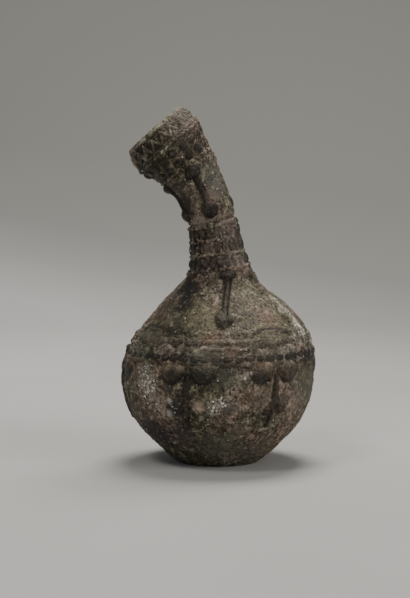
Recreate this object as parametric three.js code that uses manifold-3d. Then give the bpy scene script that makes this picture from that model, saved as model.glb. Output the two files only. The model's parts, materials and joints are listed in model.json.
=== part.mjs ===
// A gourd-shaped bronze bottle for pouring libations: a round belly on a small flat foot, a neck that
// bends over to one side, a bulbous mouth cut square, and cords, pellets and pendants in high relief.
// Millimetres, +Z up. The origin is the middle of the foot's underside.
// A place on the vessel is (s, turn, lift): s runs along the axis line from the foot to the mouth,
// turn is in degrees round it from the front (-Y) towards +X, and lift is the height off the wall.
import * as THREE from "three";
import { mergeVertices } from "three/addons/utils/BufferGeometryUtils.js";
import Module from "manifold-3d";

const wasm = await Module();
wasm.setup();

// The axis line: upright through the belly, then off it towards +X, then leaning over towards -X
const throatSeam = 134; // length of the axis line from the foot to the neck's casting
const neckLength = 112; // from there to the mouth
const mouthAt = throatSeam + neckLength;
const neckLean = 8.6; // degrees the neck leans above the shoulder
const neckLeanFrom = throatSeam - 10;
const neckLeanTo = throatSeam + 6;
const elbowLean = 33.3; // degrees the elbow adds to that
const elbowFrom = throatSeam + 17;
const elbowTo = throatSeam + 95;
const neckOffset = 4.4; // how far the hand-made neck stands off the middle of the belly
const offsetSpread = 24; // length of axis over which it moves there, above the belly
const throatShift = 2.6; // how far it comes back under the collar
const throatShiftFrom = throatSeam - 34;
const throatShiftTo = throatSeam - 6;

// The outside of the bare wall. Each curve's rows are [place, out from its radius]. The bowl's and the
// shoulder's places are shares of the way from foot to belly and from belly to throat, and the others'
// are distances.
const footRadius = 28.5;
const footCurve = [
  [0, 0],
  [3, 4.0],
  [8, 9.7],
];
const bellyAt = 60;
const bellyRadius = 67;
const bowlCurve = [
  [0.27, -20.2],
  [0.4, -13.0],
  [0.57, -6.5],
  [0.75, -2.2],
  [1, 0],
];
const throatRadius = 21.8;
const shoulderCurve = [
  [0.16, -1.0],
  [0.32, -4.5],
  [0.45, -9.1],
  [0.57, -15.9],
  [0.69, -23.8],
];
const throatFlare = [
  [0.77, 14.8],
  [0.82, 10.1],
  [0.91, 4.1],
  [1, 0],
];
const neckCurve = [
  [8, -2.6],
  [16, -3.8],
  [26, -4.9],
  [38, -5.4],
];
const waistAt = throatSeam + 50;
const waistRadius = 16.2;
const waistCurve = [
  [0, 0],
  [11, 0.8],
];
const cupAt = throatSeam + 98;
const cupRadius = 27.3;
const cupCurve = [
  [-26, -7.3],
  [-16, -5.2],
  [-8, -1.9],
  [0, 0],
  [7, -1.1],
];
const lipTall = 2.5; // height of the flat lip that caps the mouth
const lipSeam = mouthAt - lipTall;
const lipRadius = 24.4;
const mouthRadius = 21.9; // outer edge of the lip's top
const mouthBore = 16.9; // radius of the opening
const curveFrom = (at, radius, curve, length = 1) =>
  curve.map(([along, out]) => [at + along * length, radius + out]);
const shoulderLength = throatSeam - bellyAt;
const wallStations = [
  ...curveFrom(0, footRadius, footCurve),
  ...curveFrom(0, bellyRadius, bowlCurve, bellyAt),
  ...curveFrom(bellyAt, bellyRadius, shoulderCurve, shoulderLength),
  ...curveFrom(bellyAt, throatRadius, throatFlare, shoulderLength),
  ...curveFrom(throatSeam, throatRadius, neckCurve),
  ...curveFrom(waistAt, waistRadius, waistCurve),
  ...curveFrom(cupAt, cupRadius, cupCurve),
  [lipSeam, lipRadius],
  [mouthAt, mouthRadius],
];
const wall = 4.2; // thickness of the casting, square to its surface

// Joints between the castings
const gap = 0.3; // clearance between pieces that touch
const footSeam = 2.4; // top of the foot disc's flange
const plugRadius = 21; // the disc's plug, which closes the hole that the core came out of
const plugHeight = 6.5;
const bellySeam = 84.5;
const elbowSeam = throatSeam + 38.5;
const cupSeam = throatSeam + 71;
const lap = 5.5; // how far a tongue reaches into the next casting
const lipLap = 3.5;

// The belt that straps the belly seam
const beltFrom = bellySeam - 10.5;
const beltTo = bellySeam + 7.5;
const beltInset = 1.4; // how deep it is let into the walls
const beltProud = 0.6; // how far it stands proud of them

const bodySides = 36;
const neckSides = 28;

// Relief on the collar, above the throat's seam: rows of upright reeds between threads
const reedRows = [6.6, 17.1, 26.9];
const reedWidths = [7.8, 8.2, 6.4]; // along the axis
const reedHeight = 1.7;
const reeds = 24; // in each row
const collarThreads = [1.6, 11.8, 22.4, 32.2];
const threadWidth = 2.0;
const threadHeight = 1.3;
const valley = 0.45; // height of a ring between two bulges, as a share of the bulges'

// Relief on the belt
const beltPellets = 54;
const upperRowAt = beltTo - 2.8;
const upperRowWidth = 4.4;
const lowerRowAt = beltFrom + 4.7;
const lowerRowWidth = 5.0;
const pelletHeight = 1.6;
const wavyThreadAt = beltTo - 7.1;
const wavyReach = 0.7;
const bottomThreadAt = beltFrom + 1.1;
const beltThreadHeight = 0.9;

// Relief on the cup
const upperCupPellets = 18;
const upperCupRowAt = cupAt - 8.2;
const upperCupRowWidth = 6.6;
const lowerCupPellets = 16;
const lowerCupRowAt = cupAt - 16;
const lowerCupRowWidth = 5.4;
const cupThreadAt = cupAt - 20.6;
const ridgeAt = cupAt - 2.6;
const zigzagAt = cupAt + 4.4;
const zigzagReach = 3.2; // how far its points swing up and down
const zigzagTeeth = 20;
const zigzagWidth = 2.4;
const zigzagHeight = 1.1;

// Rounded lumps, half sunk in the wall: half-width, half-length along the axis, and height
const rodRadius = 2.1;

// Relief on the shoulder: pendants of a cap, a rod, a bell end and a knob beside it
const pendantTwists = [12, -1, 7, 10, 3, -3]; // degrees from the foot of each to its top
const pendantCapAt = throatSeam - 3;
const pendantFootAt = beltTo + 12;
const pendantCap = { wide: 5.6, tall: 4.4, high: 3.2 };
const pendantBell = { wide: 4.6, tall: 6.8, high: 2.8 };
const pendantKnob = { wide: 2.5, tall: 2.9, high: 3.0 };
const knobTurn = 5; // degrees from the bell to the knob

// Relief on the elbow: dumbbells
const dumbbellTurns = [3, 122, 200, 281]; // unevenly spaced, as laid on by eye
const dumbbellTop = cupSeam + 0.3;
const dumbbellFoot = elbowSeam + 5.5;
const dumbbellHead = { wide: 4.5, tall: 4.3, high: 3.4 };
const dumbbellBase = { wide: 5.4, tall: 6.0, high: 3.8 };

// Relief on the belly: pairs of lobes with a stem under the belt, and arches over it
const motifTurns = [-19, 35, 97, 160, 222, 280]; // unevenly spaced, as laid on by eye
const lobeSplit = 9; // degrees from the stem to a lobe's middle
const lobeDome = { wide: 8.8, tall: 11, high: 3.4 };
const stemFrom = beltFrom - 6.5;
const stemTo = 32;
const stemRadius = 1.9;
const barbAt = 50;
const barbLength = 8;
const barbSpread = 5.5; // degrees from the stem to a barb's foot
const barbRadius = 1.5;
const arches = 4;
const archTurn = -55;
const archDome = { wide: 14, tall: 6, high: 2.2 };

const radians = THREE.MathUtils.degToRad;

// 0 before a, 1 after b, and a smooth rise between them
function rise(s, a, b) {
  const t = THREE.MathUtils.clamp((s - a) / (b - a), 0, 1);
  return t * t * (3 - 2 * t);
}

function leanAt(s) {
  return radians(neckLean * rise(s, neckLeanFrom, neckLeanTo) + elbowLean * rise(s, elbowFrom, elbowTo));
}

// The axis line, summed up in short steps
const axisStep = 0.5;
const axisLine = [{ x: 0, z: 0 }];
for (let s = axisStep; s < mouthAt + lap; s += axisStep) {
  const last = axisLine[axisLine.length - 1];
  const lean = leanAt(s - axisStep / 2);
  axisLine.push({ x: last.x - Math.sin(lean) * axisStep, z: last.z + Math.cos(lean) * axisStep });
}

function centreAt(s) {
  const step = THREE.MathUtils.clamp(s / axisStep, 0, axisLine.length - 1.001);
  const low = axisLine[Math.floor(step)];
  const high = axisLine[Math.floor(step) + 1];
  const share = step - Math.floor(step);
  const above = Math.max(0, s - bellyAt) / offsetSpread;
  const offset = neckOffset * (1 - Math.exp(-above * above));
  const back = throatShift * rise(s, throatShiftFrom, throatShiftTo);
  return new THREE.Vector3(
    low.x + (high.x - low.x) * share + offset - back,
    0,
    low.z + (high.z - low.z) * share,
  );
}

// A smooth curve through the stations that never overshoots them
function smoothThrough(stations) {
  const steps = stations.slice(1).map((b, i) => (b[1] - stations[i][1]) / (b[0] - stations[i][0]));
  const slopes = stations.map((_, i) => {
    if (i === 0) return steps[0];
    if (i === stations.length - 1) return steps[i - 1];
    const [before, after] = [steps[i - 1], steps[i]];
    return before * after <= 0 ? 0 : (2 * before * after) / (before + after);
  });
  return (s) => {
    let i = stations.findIndex((station) => station[0] >= s);
    i = i < 0 ? stations.length - 1 : Math.max(i, 1);
    const [s0, r0] = stations[i - 1];
    const [s1, r1] = stations[i];
    const span = s1 - s0;
    const t = THREE.MathUtils.clamp((s - s0) / span, 0, 1);
    const rest = 1 - t;
    return (
      r0 * (1 + 2 * t) * rest * rest +
      slopes[i - 1] * span * t * rest * rest +
      r1 * t * t * (3 - 2 * t) -
      slopes[i] * span * t * t * rest
    );
  };
}

const outside = smoothThrough(wallStations);

// The wall's outward direction at s, as its shares across and along the axis
function facing(s) {
  const reach = 0.5;
  const slope = (outside(s + reach) - outside(s - reach)) / (2 * reach);
  const length = Math.hypot(1, slope);
  return { across: 1 / length, along: -slope / length };
}

// A profile point: lift off the wall, square to it, at s
function skin(s, lift = 0) {
  const { across, along } = facing(s);
  return [s + lift * along, outside(s) + lift * across];
}

// A profile point: the same place on the axis line, at a depth under the wall
function under(s, depth) {
  return [s, outside(s) - depth / facing(s).across];
}

// The point of the vessel at a radius from the axis line
function place(s, turn, radius) {
  const lean = leanAt(s);
  const out = radius * Math.sin(radians(turn));
  return centreAt(s).add(
    new THREE.Vector3(out * Math.cos(lean), -radius * Math.cos(radians(turn)), out * Math.sin(lean)),
  );
}

function solidFrom(geometry) {
  const bare = geometry.clone();
  bare.deleteAttribute("normal");
  bare.deleteAttribute("uv");
  const merged = mergeVertices(bare, 1e-4);
  return new wasm.Manifold(
    new wasm.Mesh({
      numProp: 3,
      vertProperties: new Float32Array(merged.attributes.position.array),
      triVerts: new Uint32Array(merged.index.array),
    }),
  );
}

function geometryFrom(solid) {
  const mesh = solid.getMesh();
  const positions = new Float32Array(mesh.numVert * 3);
  for (let i = 0; i < mesh.numVert; i += 1) {
    positions.set(mesh.vertProperties.subarray(i * mesh.numProp, i * mesh.numProp + 3), i * 3);
  }
  return new THREE.BufferGeometry()
    .setAttribute("position", new THREE.BufferAttribute(positions, 3))
    .setIndex(new THREE.BufferAttribute(new Uint32Array(mesh.triVerts), 1));
}

// Turns a closed profile round the axis line. profile(step) gives its points at that step of the turn,
// up the outside and down the inside.
function turned(profile, steps) {
  const rows = [];
  for (let step = 0; step < steps; step += 1) {
    rows.push(profile(step).map(([s, radius]) => place(s, (360 * step) / steps, radius)));
  }
  const count = rows[0].length;
  const positions = rows.flat().flatMap((p) => [p.x, p.y, p.z]);
  const index = [];
  const add = (a, b, c) => {
    const corners = [a, b, c].map((i) => new THREE.Vector3().fromArray(positions, i * 3));
    const flat = corners.some((p, i) => p.distanceTo(corners[(i + 1) % 3]) < 1e-6);
    if (!flat) index.push(a, b, c);
  };
  for (let step = 0; step < steps; step += 1) {
    const next = (step + 1) % steps;
    for (let i = 0; i < count; i += 1) {
      const up = (i + 1) % count;
      add(step * count + i, next * count + i, next * count + up);
      add(step * count + i, next * count + up, step * count + up);
    }
  }
  return new THREE.BufferGeometry()
    .setAttribute("position", new THREE.Float32BufferAttribute(positions, 3))
    .setIndex(index);
}

const shell = (profile, sides) => turned(() => profile, sides);

// Places from a to b, both kept, no further apart than a step
function between(a, b, step) {
  const count = Math.max(1, Math.ceil(Math.abs(b - a) / step));
  return Array.from({ length: count + 1 }, (_, i) => a + ((b - a) * i) / count);
}

// The places along the axis line where each bare wall has a ring of corners
const bowlRows = between(footSeam + gap, beltFrom - gap, 10.6);
const shoulderRows = between(beltTo + gap, throatSeam, 6);
const sleeveRows = between(throatSeam + gap, elbowSeam, 5);
const elbowRows = between(elbowSeam + gap, cupSeam, 8.2);
const cupRows = between(cupSeam + gap, lipSeam, 5.8);

// The tongue and groove of a lap joint meet at this depth in the wall
const midWall = wall / 2;

// A length of the bare wall from one seam to the next. Its foot is a tongue that drops into the casting
// below, and its top is rebated to take the tongue of the casting above.
function tube(rows, lapBelow, lapAbove, step) {
  const from = rows[0] - gap;
  const to = rows[rows.length - 1];
  const outer = rows.map((s) => skin(s));
  const rebate = [under(to, midWall - gap / 2), under(to - lapAbove, midWall - gap / 2)];
  const inner = between(to - lapAbove, from - lapBelow + gap, step).map((s) => under(s, wall));
  const tongue = [under(from - lapBelow + gap, midWall + gap / 2), under(from + gap, midWall + gap / 2)];
  return [...outer, ...(lapAbove ? rebate : []), ...inner, ...(lapBelow ? tongue : [])];
}

function footDisc() {
  const plug = [
    [footSeam, plugRadius],
    [plugHeight, plugRadius],
    [plugHeight, 0],
  ];
  const profile = [[0, 0], skin(0), skin(footSeam), ...plug];
  return shell(profile, bodySides);
}

// The walls under the belt are cut back to let it in
function lowerBowl() {
  const letIn = beltInset + gap;
  const tongueBottom = midWall + letIn / 2 + gap / 2;
  const profile = [
    [footSeam + gap, plugRadius + gap],
    ...bowlRows.map((s) => skin(s)),
    ...between(beltFrom - gap, bellySeam, 8).map((s) => under(s, letIn)),
    under(bellySeam, tongueBottom),
    under(bellySeam + lap - gap, tongueBottom),
    ...between(bellySeam + lap - gap, plugHeight + wall, 14).map((s) => under(s, wall)),
    [plugHeight, plugRadius + gap],
  ];
  return shell(profile, bodySides);
}

function shoulderShell() {
  const letIn = beltInset + gap;
  const grooveBottom = midWall + letIn / 2 - gap / 2;
  const profile = [
    ...between(bellySeam + gap, beltTo + gap, 8).map((s) => under(s, letIn)),
    ...shoulderRows.map((s) => skin(s)),
    under(throatSeam, midWall - gap / 2),
    under(throatSeam - lap, midWall - gap / 2),
    ...between(throatSeam - lap, bellySeam + lap, 12).map((s) => under(s, wall)),
    under(bellySeam + lap, grooveBottom),
    under(bellySeam + gap, grooveBottom),
  ];
  return shell(profile, bodySides);
}

function belt() {
  const profile = [
    ...between(beltFrom, beltTo, 7).map((s) => under(s, -beltProud)),
    ...between(beltTo, beltFrom, 7).map((s) => under(s, beltInset)),
  ];
  return shell(profile, bodySides);
}

// A flat ring that caps the mouth, with a tongue inside the cup
function mouthLip() {
  const tongueRadius = under(lipSeam, wall)[1] - gap;
  const profile = [
    skin(lipSeam + gap),
    [mouthAt, mouthRadius],
    [mouthAt, mouthBore],
    [lipSeam - lipLap, mouthBore],
    [lipSeam - lipLap, tongueRadius],
    [lipSeam + gap, tongueRadius],
  ];
  return shell(profile, neckSides);
}

// A ring of relief round the wall: a plain thread, a row of bulges, or a zigzag. sides is the steps round
// from one bulge to the next, low is its height between two of them as a share of the full height, swing is
// how far it strays up and down, and lift is what it sits on.
function ring({ at, width, height, bulges, sides = 2, low = valley, swing = 0, lift = 0 }) {
  return turned((step) => {
    const wave = Math.cos((2 * Math.PI * step) / sides);
    const peak = low + (1 - low) * (0.5 + 0.5 * wave);
    const middle = at + swing * wave;
    const half = (width / 2) * (0.6 + 0.4 * peak);
    return [
      skin(middle - half, lift + gap),
      skin(middle - half * 0.5, lift + gap + height * peak),
      skin(middle + half * 0.5, lift + gap + height * peak),
      skin(middle + half, lift + gap),
    ];
  }, bulges * sides);
}

const reedRow = (i) =>
  ring({ at: throatSeam + reedRows[i], width: reedWidths[i], height: reedHeight, bulges: reeds });
const thread = (at) => ring({ at, width: threadWidth, height: threadHeight, bulges: neckSides, sides: 1 });
const beltRow = (at, width) =>
  ring({ at, width, height: pelletHeight, bulges: beltPellets, lift: beltProud });
const beltThread = (at, swing, sides) =>
  ring({
    at,
    width: threadWidth,
    height: beltThreadHeight,
    bulges: bodySides,
    sides,
    low: 1,
    swing,
    lift: beltProud,
  });
const cupRow = (at, width, bulges) => ring({ at, width, height: pelletHeight, bulges, sides: 4 });

// The frame at a place on the wall: U round it, V along it towards the mouth, N out of it
function frameAt(s, turn) {
  const radius = outside(s);
  const reach = 0.5;
  const here = place(s, turn, radius);
  const u = place(s, turn + 1, radius).sub(place(s, turn - 1, radius)).normalize();
  const above = place(s + reach, turn, outside(s + reach));
  const v = above.sub(place(s - reach, turn, outside(s - reach))).normalize();
  return new THREE.Matrix4().makeBasis(u, v, new THREE.Vector3().crossVectors(u, v)).setPosition(here);
}

function lump(s, turn, { wide, tall, high }) {
  const dome = new THREE.SphereGeometry(1, 8, 5).scale(wide, tall, high);
  return solidFrom(dome.applyMatrix4(frameAt(s, turn)));
}

// A rod that follows the wall through [s, turn] places, six-sided, half sunk in it
function rod(places, radius) {
  const rings = places.map(([s, turn]) => frameAt(s, turn));
  const centres = rings.map((m) => new THREE.Vector3().setFromMatrixPosition(m));
  const corners = 6;
  const positions = [];
  rings.forEach((matrix, i) => {
    const ahead = centres[Math.min(i + 1, centres.length - 1)];
    const behind = centres[Math.max(i - 1, 0)];
    const forward = ahead.clone().sub(behind).normalize();
    const out = new THREE.Vector3().setFromMatrixColumn(matrix, 2);
    const side = new THREE.Vector3().crossVectors(forward, out).normalize();
    for (let k = 0; k < corners; k += 1) {
      const angle = (2 * Math.PI * k) / corners;
      const p = centres[i]
        .clone()
        .addScaledVector(out, radius * Math.cos(angle))
        .addScaledVector(side, radius * Math.sin(angle));
      positions.push(p.x, p.y, p.z);
    }
  });
  const index = [];
  for (let i = 0; i < rings.length - 1; i += 1) {
    for (let k = 0; k < corners; k += 1) {
      const next = (k + 1) % corners;
      const a = i * corners + k;
      const b = i * corners + next;
      index.push(a, b, a + corners, b, b + corners, a + corners);
    }
  }
  const last = (rings.length - 1) * corners;
  for (let k = 1; k < corners - 1; k += 1) {
    index.push(0, k + 1, k);
    index.push(last, last + k, last + k + 1);
  }
  const geometry = new THREE.BufferGeometry()
    .setAttribute("position", new THREE.Float32BufferAttribute(positions, 3))
    .setIndex(index);
  return solidFrom(geometry);
}

// What the relief on a stretch of wall is cut back by, so that it sits on the wall
function wallBlock(rows, sides) {
  const profile = [[rows[0], 0], ...rows.map((s) => skin(s, gap)), [rows[rows.length - 1], 0]];
  return solidFrom(shell(profile, sides));
}

// A thick collar round the wall, to part one piece of relief from the next
function parting(from, to, sides) {
  const deep = 6;
  const proud = 12;
  const profile = [skin(from, proud), skin(to, proud), skin(to, -deep), skin(from, -deep)];
  return solidFrom(shell(profile, sides));
}

const bodyBlock = wallBlock([...bowlRows, ...shoulderRows, throatSeam + gap], bodySides);
const neckBlock = wallBlock([...sleeveRows, ...elbowRows, ...cupRows], neckSides);
const lobeParting = parting(beltFrom - gap, beltTo, bodySides);
const archParting = parting(beltFrom, beltTo + gap, bodySides);
const collarParting = parting(throatSeam + gap, throatSeam + 8, neckSides);

function pendant(turn, twist) {
  const places = between(0, 1, 0.2).map((t) => [
    THREE.MathUtils.lerp(pendantFootAt, pendantCapAt, t),
    turn + twist * t,
  ]);
  return rod(places, rodRadius)
    .add(lump(pendantCapAt, turn + twist, pendantCap))
    .add(lump(pendantFootAt, turn - knobTurn / 3, pendantBell))
    .add(lump(pendantFootAt - 1, turn + knobTurn * (2 / 3), pendantKnob))
    .subtract(bodyBlock)
    .subtract(collarParting);
}

function dumbbell(turn) {
  const places = between(dumbbellFoot, dumbbellTop, 6).map((s) => [s, turn]);
  return rod(places, rodRadius)
    .add(lump(dumbbellFoot, turn, dumbbellBase))
    .add(lump(dumbbellTop, turn, dumbbellHead))
    .subtract(neckBlock);
}

function lobe(turn) {
  return lump(beltFrom, turn, lobeDome).subtract(bodyBlock).subtract(lobeParting);
}

// A stem between two lobes, with a pair of barbs that hang from it
function stem(turn) {
  const places = between(stemTo, stemFrom, 9).map((s) => [s, turn]);
  const barb = (side) => {
    const route = between(0, 1, 0.5).map((t) => [barbAt - barbLength * t, turn + side * barbSpread * t]);
    return rod(route, barbRadius);
  };
  return rod(places, stemRadius).add(barb(1)).add(barb(-1)).subtract(bodyBlock);
}

function arch(turn) {
  return lump(beltTo, turn, archDome).subtract(bodyBlock).subtract(archParting);
}

const finishes = {
  wall: { color: 0x6b5f50, roughness: 0.62, metalness: 0.45 },
  relief: { color: 0x3a322b, roughness: 0.55, metalness: 0.5 },
  foot: { color: 0x4a4238, roughness: 0.68, metalness: 0.4 },
};

const bottle = new THREE.Group();

function piece(name, geometry, finish) {
  const mesh = new THREE.Mesh(geometry, new THREE.MeshStandardMaterial(finishes[finish]));
  mesh.name = name;
  bottle.add(mesh);
}

piece("foot_disc", footDisc(), "foot");
piece("lower_bowl", lowerBowl(), "wall");
piece("belly_belt", belt(), "wall");
piece("shoulder_shell", shoulderShell(), "wall");
piece("neck_sleeve", shell(tube(sleeveRows, lap, lap, 10), neckSides), "wall");
piece("neck_elbow", shell(tube(elbowRows, lap, lap, 6.5), neckSides), "wall");
piece("mouth_cup", shell(tube(cupRows, lap, 0, 5), neckSides), "wall");
piece("mouth_lip", mouthLip(), "wall");

reedRows.forEach((_, i) => piece(`collar_reeds_${i + 1}`, reedRow(i), "relief"));
collarThreads.forEach((up, i) => piece(`collar_thread_${i + 1}`, thread(throatSeam + up), "relief"));
piece("belt_pellets_lower", beltRow(lowerRowAt, lowerRowWidth), "relief");
piece("belt_pellets_upper", beltRow(upperRowAt, upperRowWidth), "relief");
piece("belt_thread_bottom", beltThread(bottomThreadAt, 0, 1), "relief");
piece("belt_thread_wavy", beltThread(wavyThreadAt, wavyReach, 2), "relief");
piece("cup_pellets_lower", cupRow(lowerCupRowAt, lowerCupRowWidth, lowerCupPellets), "relief");
piece("cup_pellets_upper", cupRow(upperCupRowAt, upperCupRowWidth, upperCupPellets), "relief");
piece("cup_thread", thread(cupThreadAt), "relief");
piece("cup_ridge", thread(ridgeAt), "relief");
piece(
  "cup_zigzag",
  ring({
    at: zigzagAt,
    width: zigzagWidth,
    height: zigzagHeight,
    bulges: zigzagTeeth,
    sides: 4,
    low: 1,
    swing: zigzagReach,
  }),
  "relief",
);

const applied = (name, i, solid) => piece(`${name}_${i + 1}`, geometryFrom(solid), "relief");

pendantTwists.forEach((twist, i) => {
  applied("shoulder_pendant", i, pendant((360 * i) / pendantTwists.length, twist));
});
dumbbellTurns.forEach((turn, i) => applied("neck_dumbbell", i, dumbbell(turn)));
motifTurns.forEach((turn, i) => {
  applied("belly_lobe_left", i, lobe(turn - lobeSplit));
  applied("belly_lobe_right", i, lobe(turn + lobeSplit));
  applied("belly_stem", i, stem(turn));
});
for (let i = 0; i < arches; i += 1) {
  applied("belt_arch", i, arch(archTurn + (360 * i) / arches));
}

export default bottle;
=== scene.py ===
# A cast bronze libation bottle, worn and crusted with earth, on a pale studio floor.
# Blender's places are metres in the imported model's own frame. Sizes in the dictionaries are mm and turns are
# degrees, where no note says otherwise. The scale of a noise is in waves to a metre.
import bpy
import json
import math
import numpy as np
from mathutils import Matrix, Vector


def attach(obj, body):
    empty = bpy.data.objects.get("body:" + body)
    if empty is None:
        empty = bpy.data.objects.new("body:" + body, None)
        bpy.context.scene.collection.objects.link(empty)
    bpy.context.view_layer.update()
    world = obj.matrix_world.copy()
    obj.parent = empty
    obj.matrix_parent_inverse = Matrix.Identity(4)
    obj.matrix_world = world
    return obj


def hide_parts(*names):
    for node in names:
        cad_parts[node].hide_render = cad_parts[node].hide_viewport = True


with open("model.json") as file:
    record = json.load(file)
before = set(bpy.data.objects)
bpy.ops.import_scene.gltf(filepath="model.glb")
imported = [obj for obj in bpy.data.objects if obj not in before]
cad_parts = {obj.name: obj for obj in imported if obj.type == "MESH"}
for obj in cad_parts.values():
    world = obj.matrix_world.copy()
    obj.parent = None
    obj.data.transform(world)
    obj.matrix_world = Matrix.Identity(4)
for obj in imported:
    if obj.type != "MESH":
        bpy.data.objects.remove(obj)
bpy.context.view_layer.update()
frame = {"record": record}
mm = 0.001

vessel = {  # the bottle's own line and its bare wall, as the solids have them
    "mouthAt": 246.0,
    "neckLean": (8.6, 124.0, 140.0),  # degrees, from and to
    "elbowLean": (33.3, 151.0, 229.0),
    "neckOffset": 4.4,
    "offsetFrom": 60.0,
    "offsetSpread": 24.0,
    "throatShift": (2.6, 100.0, 128.0),
    "stations": [  # place along the line, radius
        (0, 28.5), (3, 32.5), (8, 38.2), (16.2, 46.8), (24, 54.0), (34.2, 60.5), (45, 64.8), (60, 67.0),
        (71.8, 66.0), (83.7, 62.5), (93.3, 57.9), (102.2, 51.1), (111.1, 43.2), (117, 36.6), (120.7, 31.9),
        (127.3, 25.9), (134, 21.8), (142, 19.2), (150, 18.0), (160, 16.9), (172, 16.4), (184, 16.2),
        (195, 17.0), (206, 20.0), (216, 22.1), (224, 25.4), (232, 27.3), (239, 26.2), (243.5, 24.4),
        (246, 21.9),
    ],
    "thick": 4.2,
    "bore": 16.9,  # radius of the hole in the mouth
    "lineTo": 252.0,  # the tables go a little past the mouth
    "lineStep": 0.5,
}


# The line of the vessel, as tables along s

def rise(s, low, high):
    t = np.clip((s - low) / (high - low), 0, 1)
    return t * t * (3 - 2 * t)


def throughStations(stations, s):
    # A smooth curve through the stations that never overshoots them
    at, radius = np.array(stations, float).T
    spans = np.diff(at)
    steps = np.diff(radius) / spans
    slopes = np.zeros(len(at))
    slopes[0], slopes[-1] = steps[0], steps[-1]
    product = steps[:-1] * steps[1:]
    safe = np.where(product > 0, steps[:-1] + steps[1:], 1)
    slopes[1:-1] = np.where(product > 0, 2 * product / safe, 0)
    i = np.clip(np.searchsorted(at, s) - 1, 0, len(spans) - 1)
    t = np.clip((s - at[i]) / spans[i], 0, 1)
    rest = 1 - t
    return (radius[i] * (1 + 2 * t) * rest ** 2 + slopes[i] * spans[i] * t * rest ** 2
            + radius[i + 1] * t ** 2 * (3 - 2 * t) - slopes[i + 1] * spans[i] * t ** 2 * rest)


lineS = np.arange(0, vessel["lineTo"], vessel["lineStep"])


def leanOf(s):
    bends = (vessel["neckLean"], vessel["elbowLean"])
    return sum(math.radians(turn) * rise(s, low, high) for turn, low, high in bends)


def lineTables():
    step = vessel["lineStep"]
    middle = leanOf(lineS[:-1] + step / 2)
    x = np.concatenate([[0], np.cumsum(-np.sin(middle) * step)])
    z = np.concatenate([[0], np.cumsum(np.cos(middle) * step)])
    above = np.maximum(0, lineS - vessel["offsetFrom"]) / vessel["offsetSpread"]
    back, low, high = vessel["throatShift"]
    x = x + vessel["neckOffset"] * (1 - np.exp(-above ** 2)) - back * rise(lineS, low, high)
    radius = throughStations(vessel["stations"], lineS)
    slope = np.gradient(radius, step)
    arc = np.concatenate([[0], np.cumsum(np.hypot(step, np.diff(radius)))])
    return {"x": x, "z": z, "lean": leanOf(lineS), "radius": radius, "slope": slope, "arc": arc}


line = lineTables()


def along(name, s):
    return np.interp(s, lineS, line[name])


def wallPoint(s, turn):
    lean, angle = along("lean", s), math.radians(turn)
    out = np.array([math.sin(angle) * math.cos(lean), -math.cos(angle), math.sin(angle) * math.sin(lean)])
    centre = np.array([along("x", s), 0, along("z", s)])
    return (centre + out * along("radius", s)) * mm


def rowsBetween(low, high, pace):
    a, b = along("arc", low), along("arc", high)
    return np.interp(np.linspace(a, b, max(1, round(abs(b - a) / pace)) + 1), line["arc"], lineS)


# Small helpers for objects and node trees

def addObject(name, data):
    made = bpy.data.objects.new(name, data)
    bpy.context.scene.collection.objects.link(made)
    return made


def feed(tree, socket, value):
    if isinstance(value, bpy.types.NodeSocket):
        tree.links.new(value, socket)
    elif value is not None:
        socket.default_value = value


def addNode(tree, kind, inputs=None, **settings):
    node = tree.nodes.new(kind)
    for name, value in settings.items():
        setattr(node, name, value)
    for name, value in (inputs or {}).items():
        feed(tree, node.inputs[name], value)
    return node


def calc(tree, operation, *values):
    return addNode(tree, "ShaderNodeMath", dict(enumerate(values)), operation=operation).outputs[0]


def plus(tree, a, b):
    return calc(tree, "ADD", a, b)


def minus(tree, a, b):
    return calc(tree, "SUBTRACT", a, b)


def times(tree, a, b):
    return calc(tree, "MULTIPLY", a, b)


def vec(tree, operation, *values, scale=None):
    node = addNode(tree, "ShaderNodeVectorMath", dict(enumerate(values)), operation=operation)
    if scale is not None:
        feed(tree, node.inputs["Scale"], scale)
    return node.outputs["Value" if operation == "DISTANCE" else "Vector"]


def spread(tree, value, low, high, outLow=0.0, outHigh=1.0, smooth=False):
    return addNode(tree, "ShaderNodeMapRange", {
        "Value": value, "From Min": low, "From Max": high, "To Min": outLow, "To Max": outHigh,
    }, interpolation_type="SMOOTHSTEP" if smooth else "LINEAR").outputs["Result"]


def noise(tree, where, scale, detail=2.0, roughness=0.5, output=0):
    return addNode(tree, "ShaderNodeTexNoise", {
        "Vector": where, "Scale": scale, "Detail": detail, "Roughness": roughness,
    }).outputs[output]


def combined(tree, x=None, y=None, z=None):
    return addNode(tree, "ShaderNodeCombineXYZ", {0: x, 1: y, 2: z}).outputs[0]


def apart(tree, vector):
    return addNode(tree, "ShaderNodeSeparateXYZ", {0: vector}).outputs


def newTree(name, kind, inputs, output=("Geometry", "Geometry")):
    tree = bpy.data.node_groups.new(name, kind)
    for socketName, socketType in inputs:
        tree.interface.new_socket(socketName, in_out="INPUT", socket_type="NodeSocket" + socketType)
    tree.interface.new_socket(output[0], in_out="OUTPUT", socket_type="NodeSocket" + output[1])
    return tree, addNode(tree, "NodeGroupInput").outputs, addNode(tree, "NodeGroupOutput").inputs[0]


# Geometry nodes that several trees use

def position(tree):
    return addNode(tree, "GeometryNodeInputPosition").outputs[0]


def stored(tree, name, kind="FLOAT"):
    return addNode(tree, "GeometryNodeInputNamedAttribute", {"Name": name}, data_type=kind).outputs[0]


def store(tree, geometry, name, value):
    return addNode(tree, "GeometryNodeStoreNamedAttribute", {
        "Geometry": geometry, "Name": name, "Value": value,
    }, data_type="FLOAT", domain="POINT").outputs[0]


def objectShape(tree, source):
    return addNode(tree, "GeometryNodeObjectInfo", {"Object": source}).outputs["Geometry"]


def realized(tree, geometry):
    return addNode(tree, "GeometryNodeRealizeInstances", {"Geometry": geometry}).outputs[0]


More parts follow.
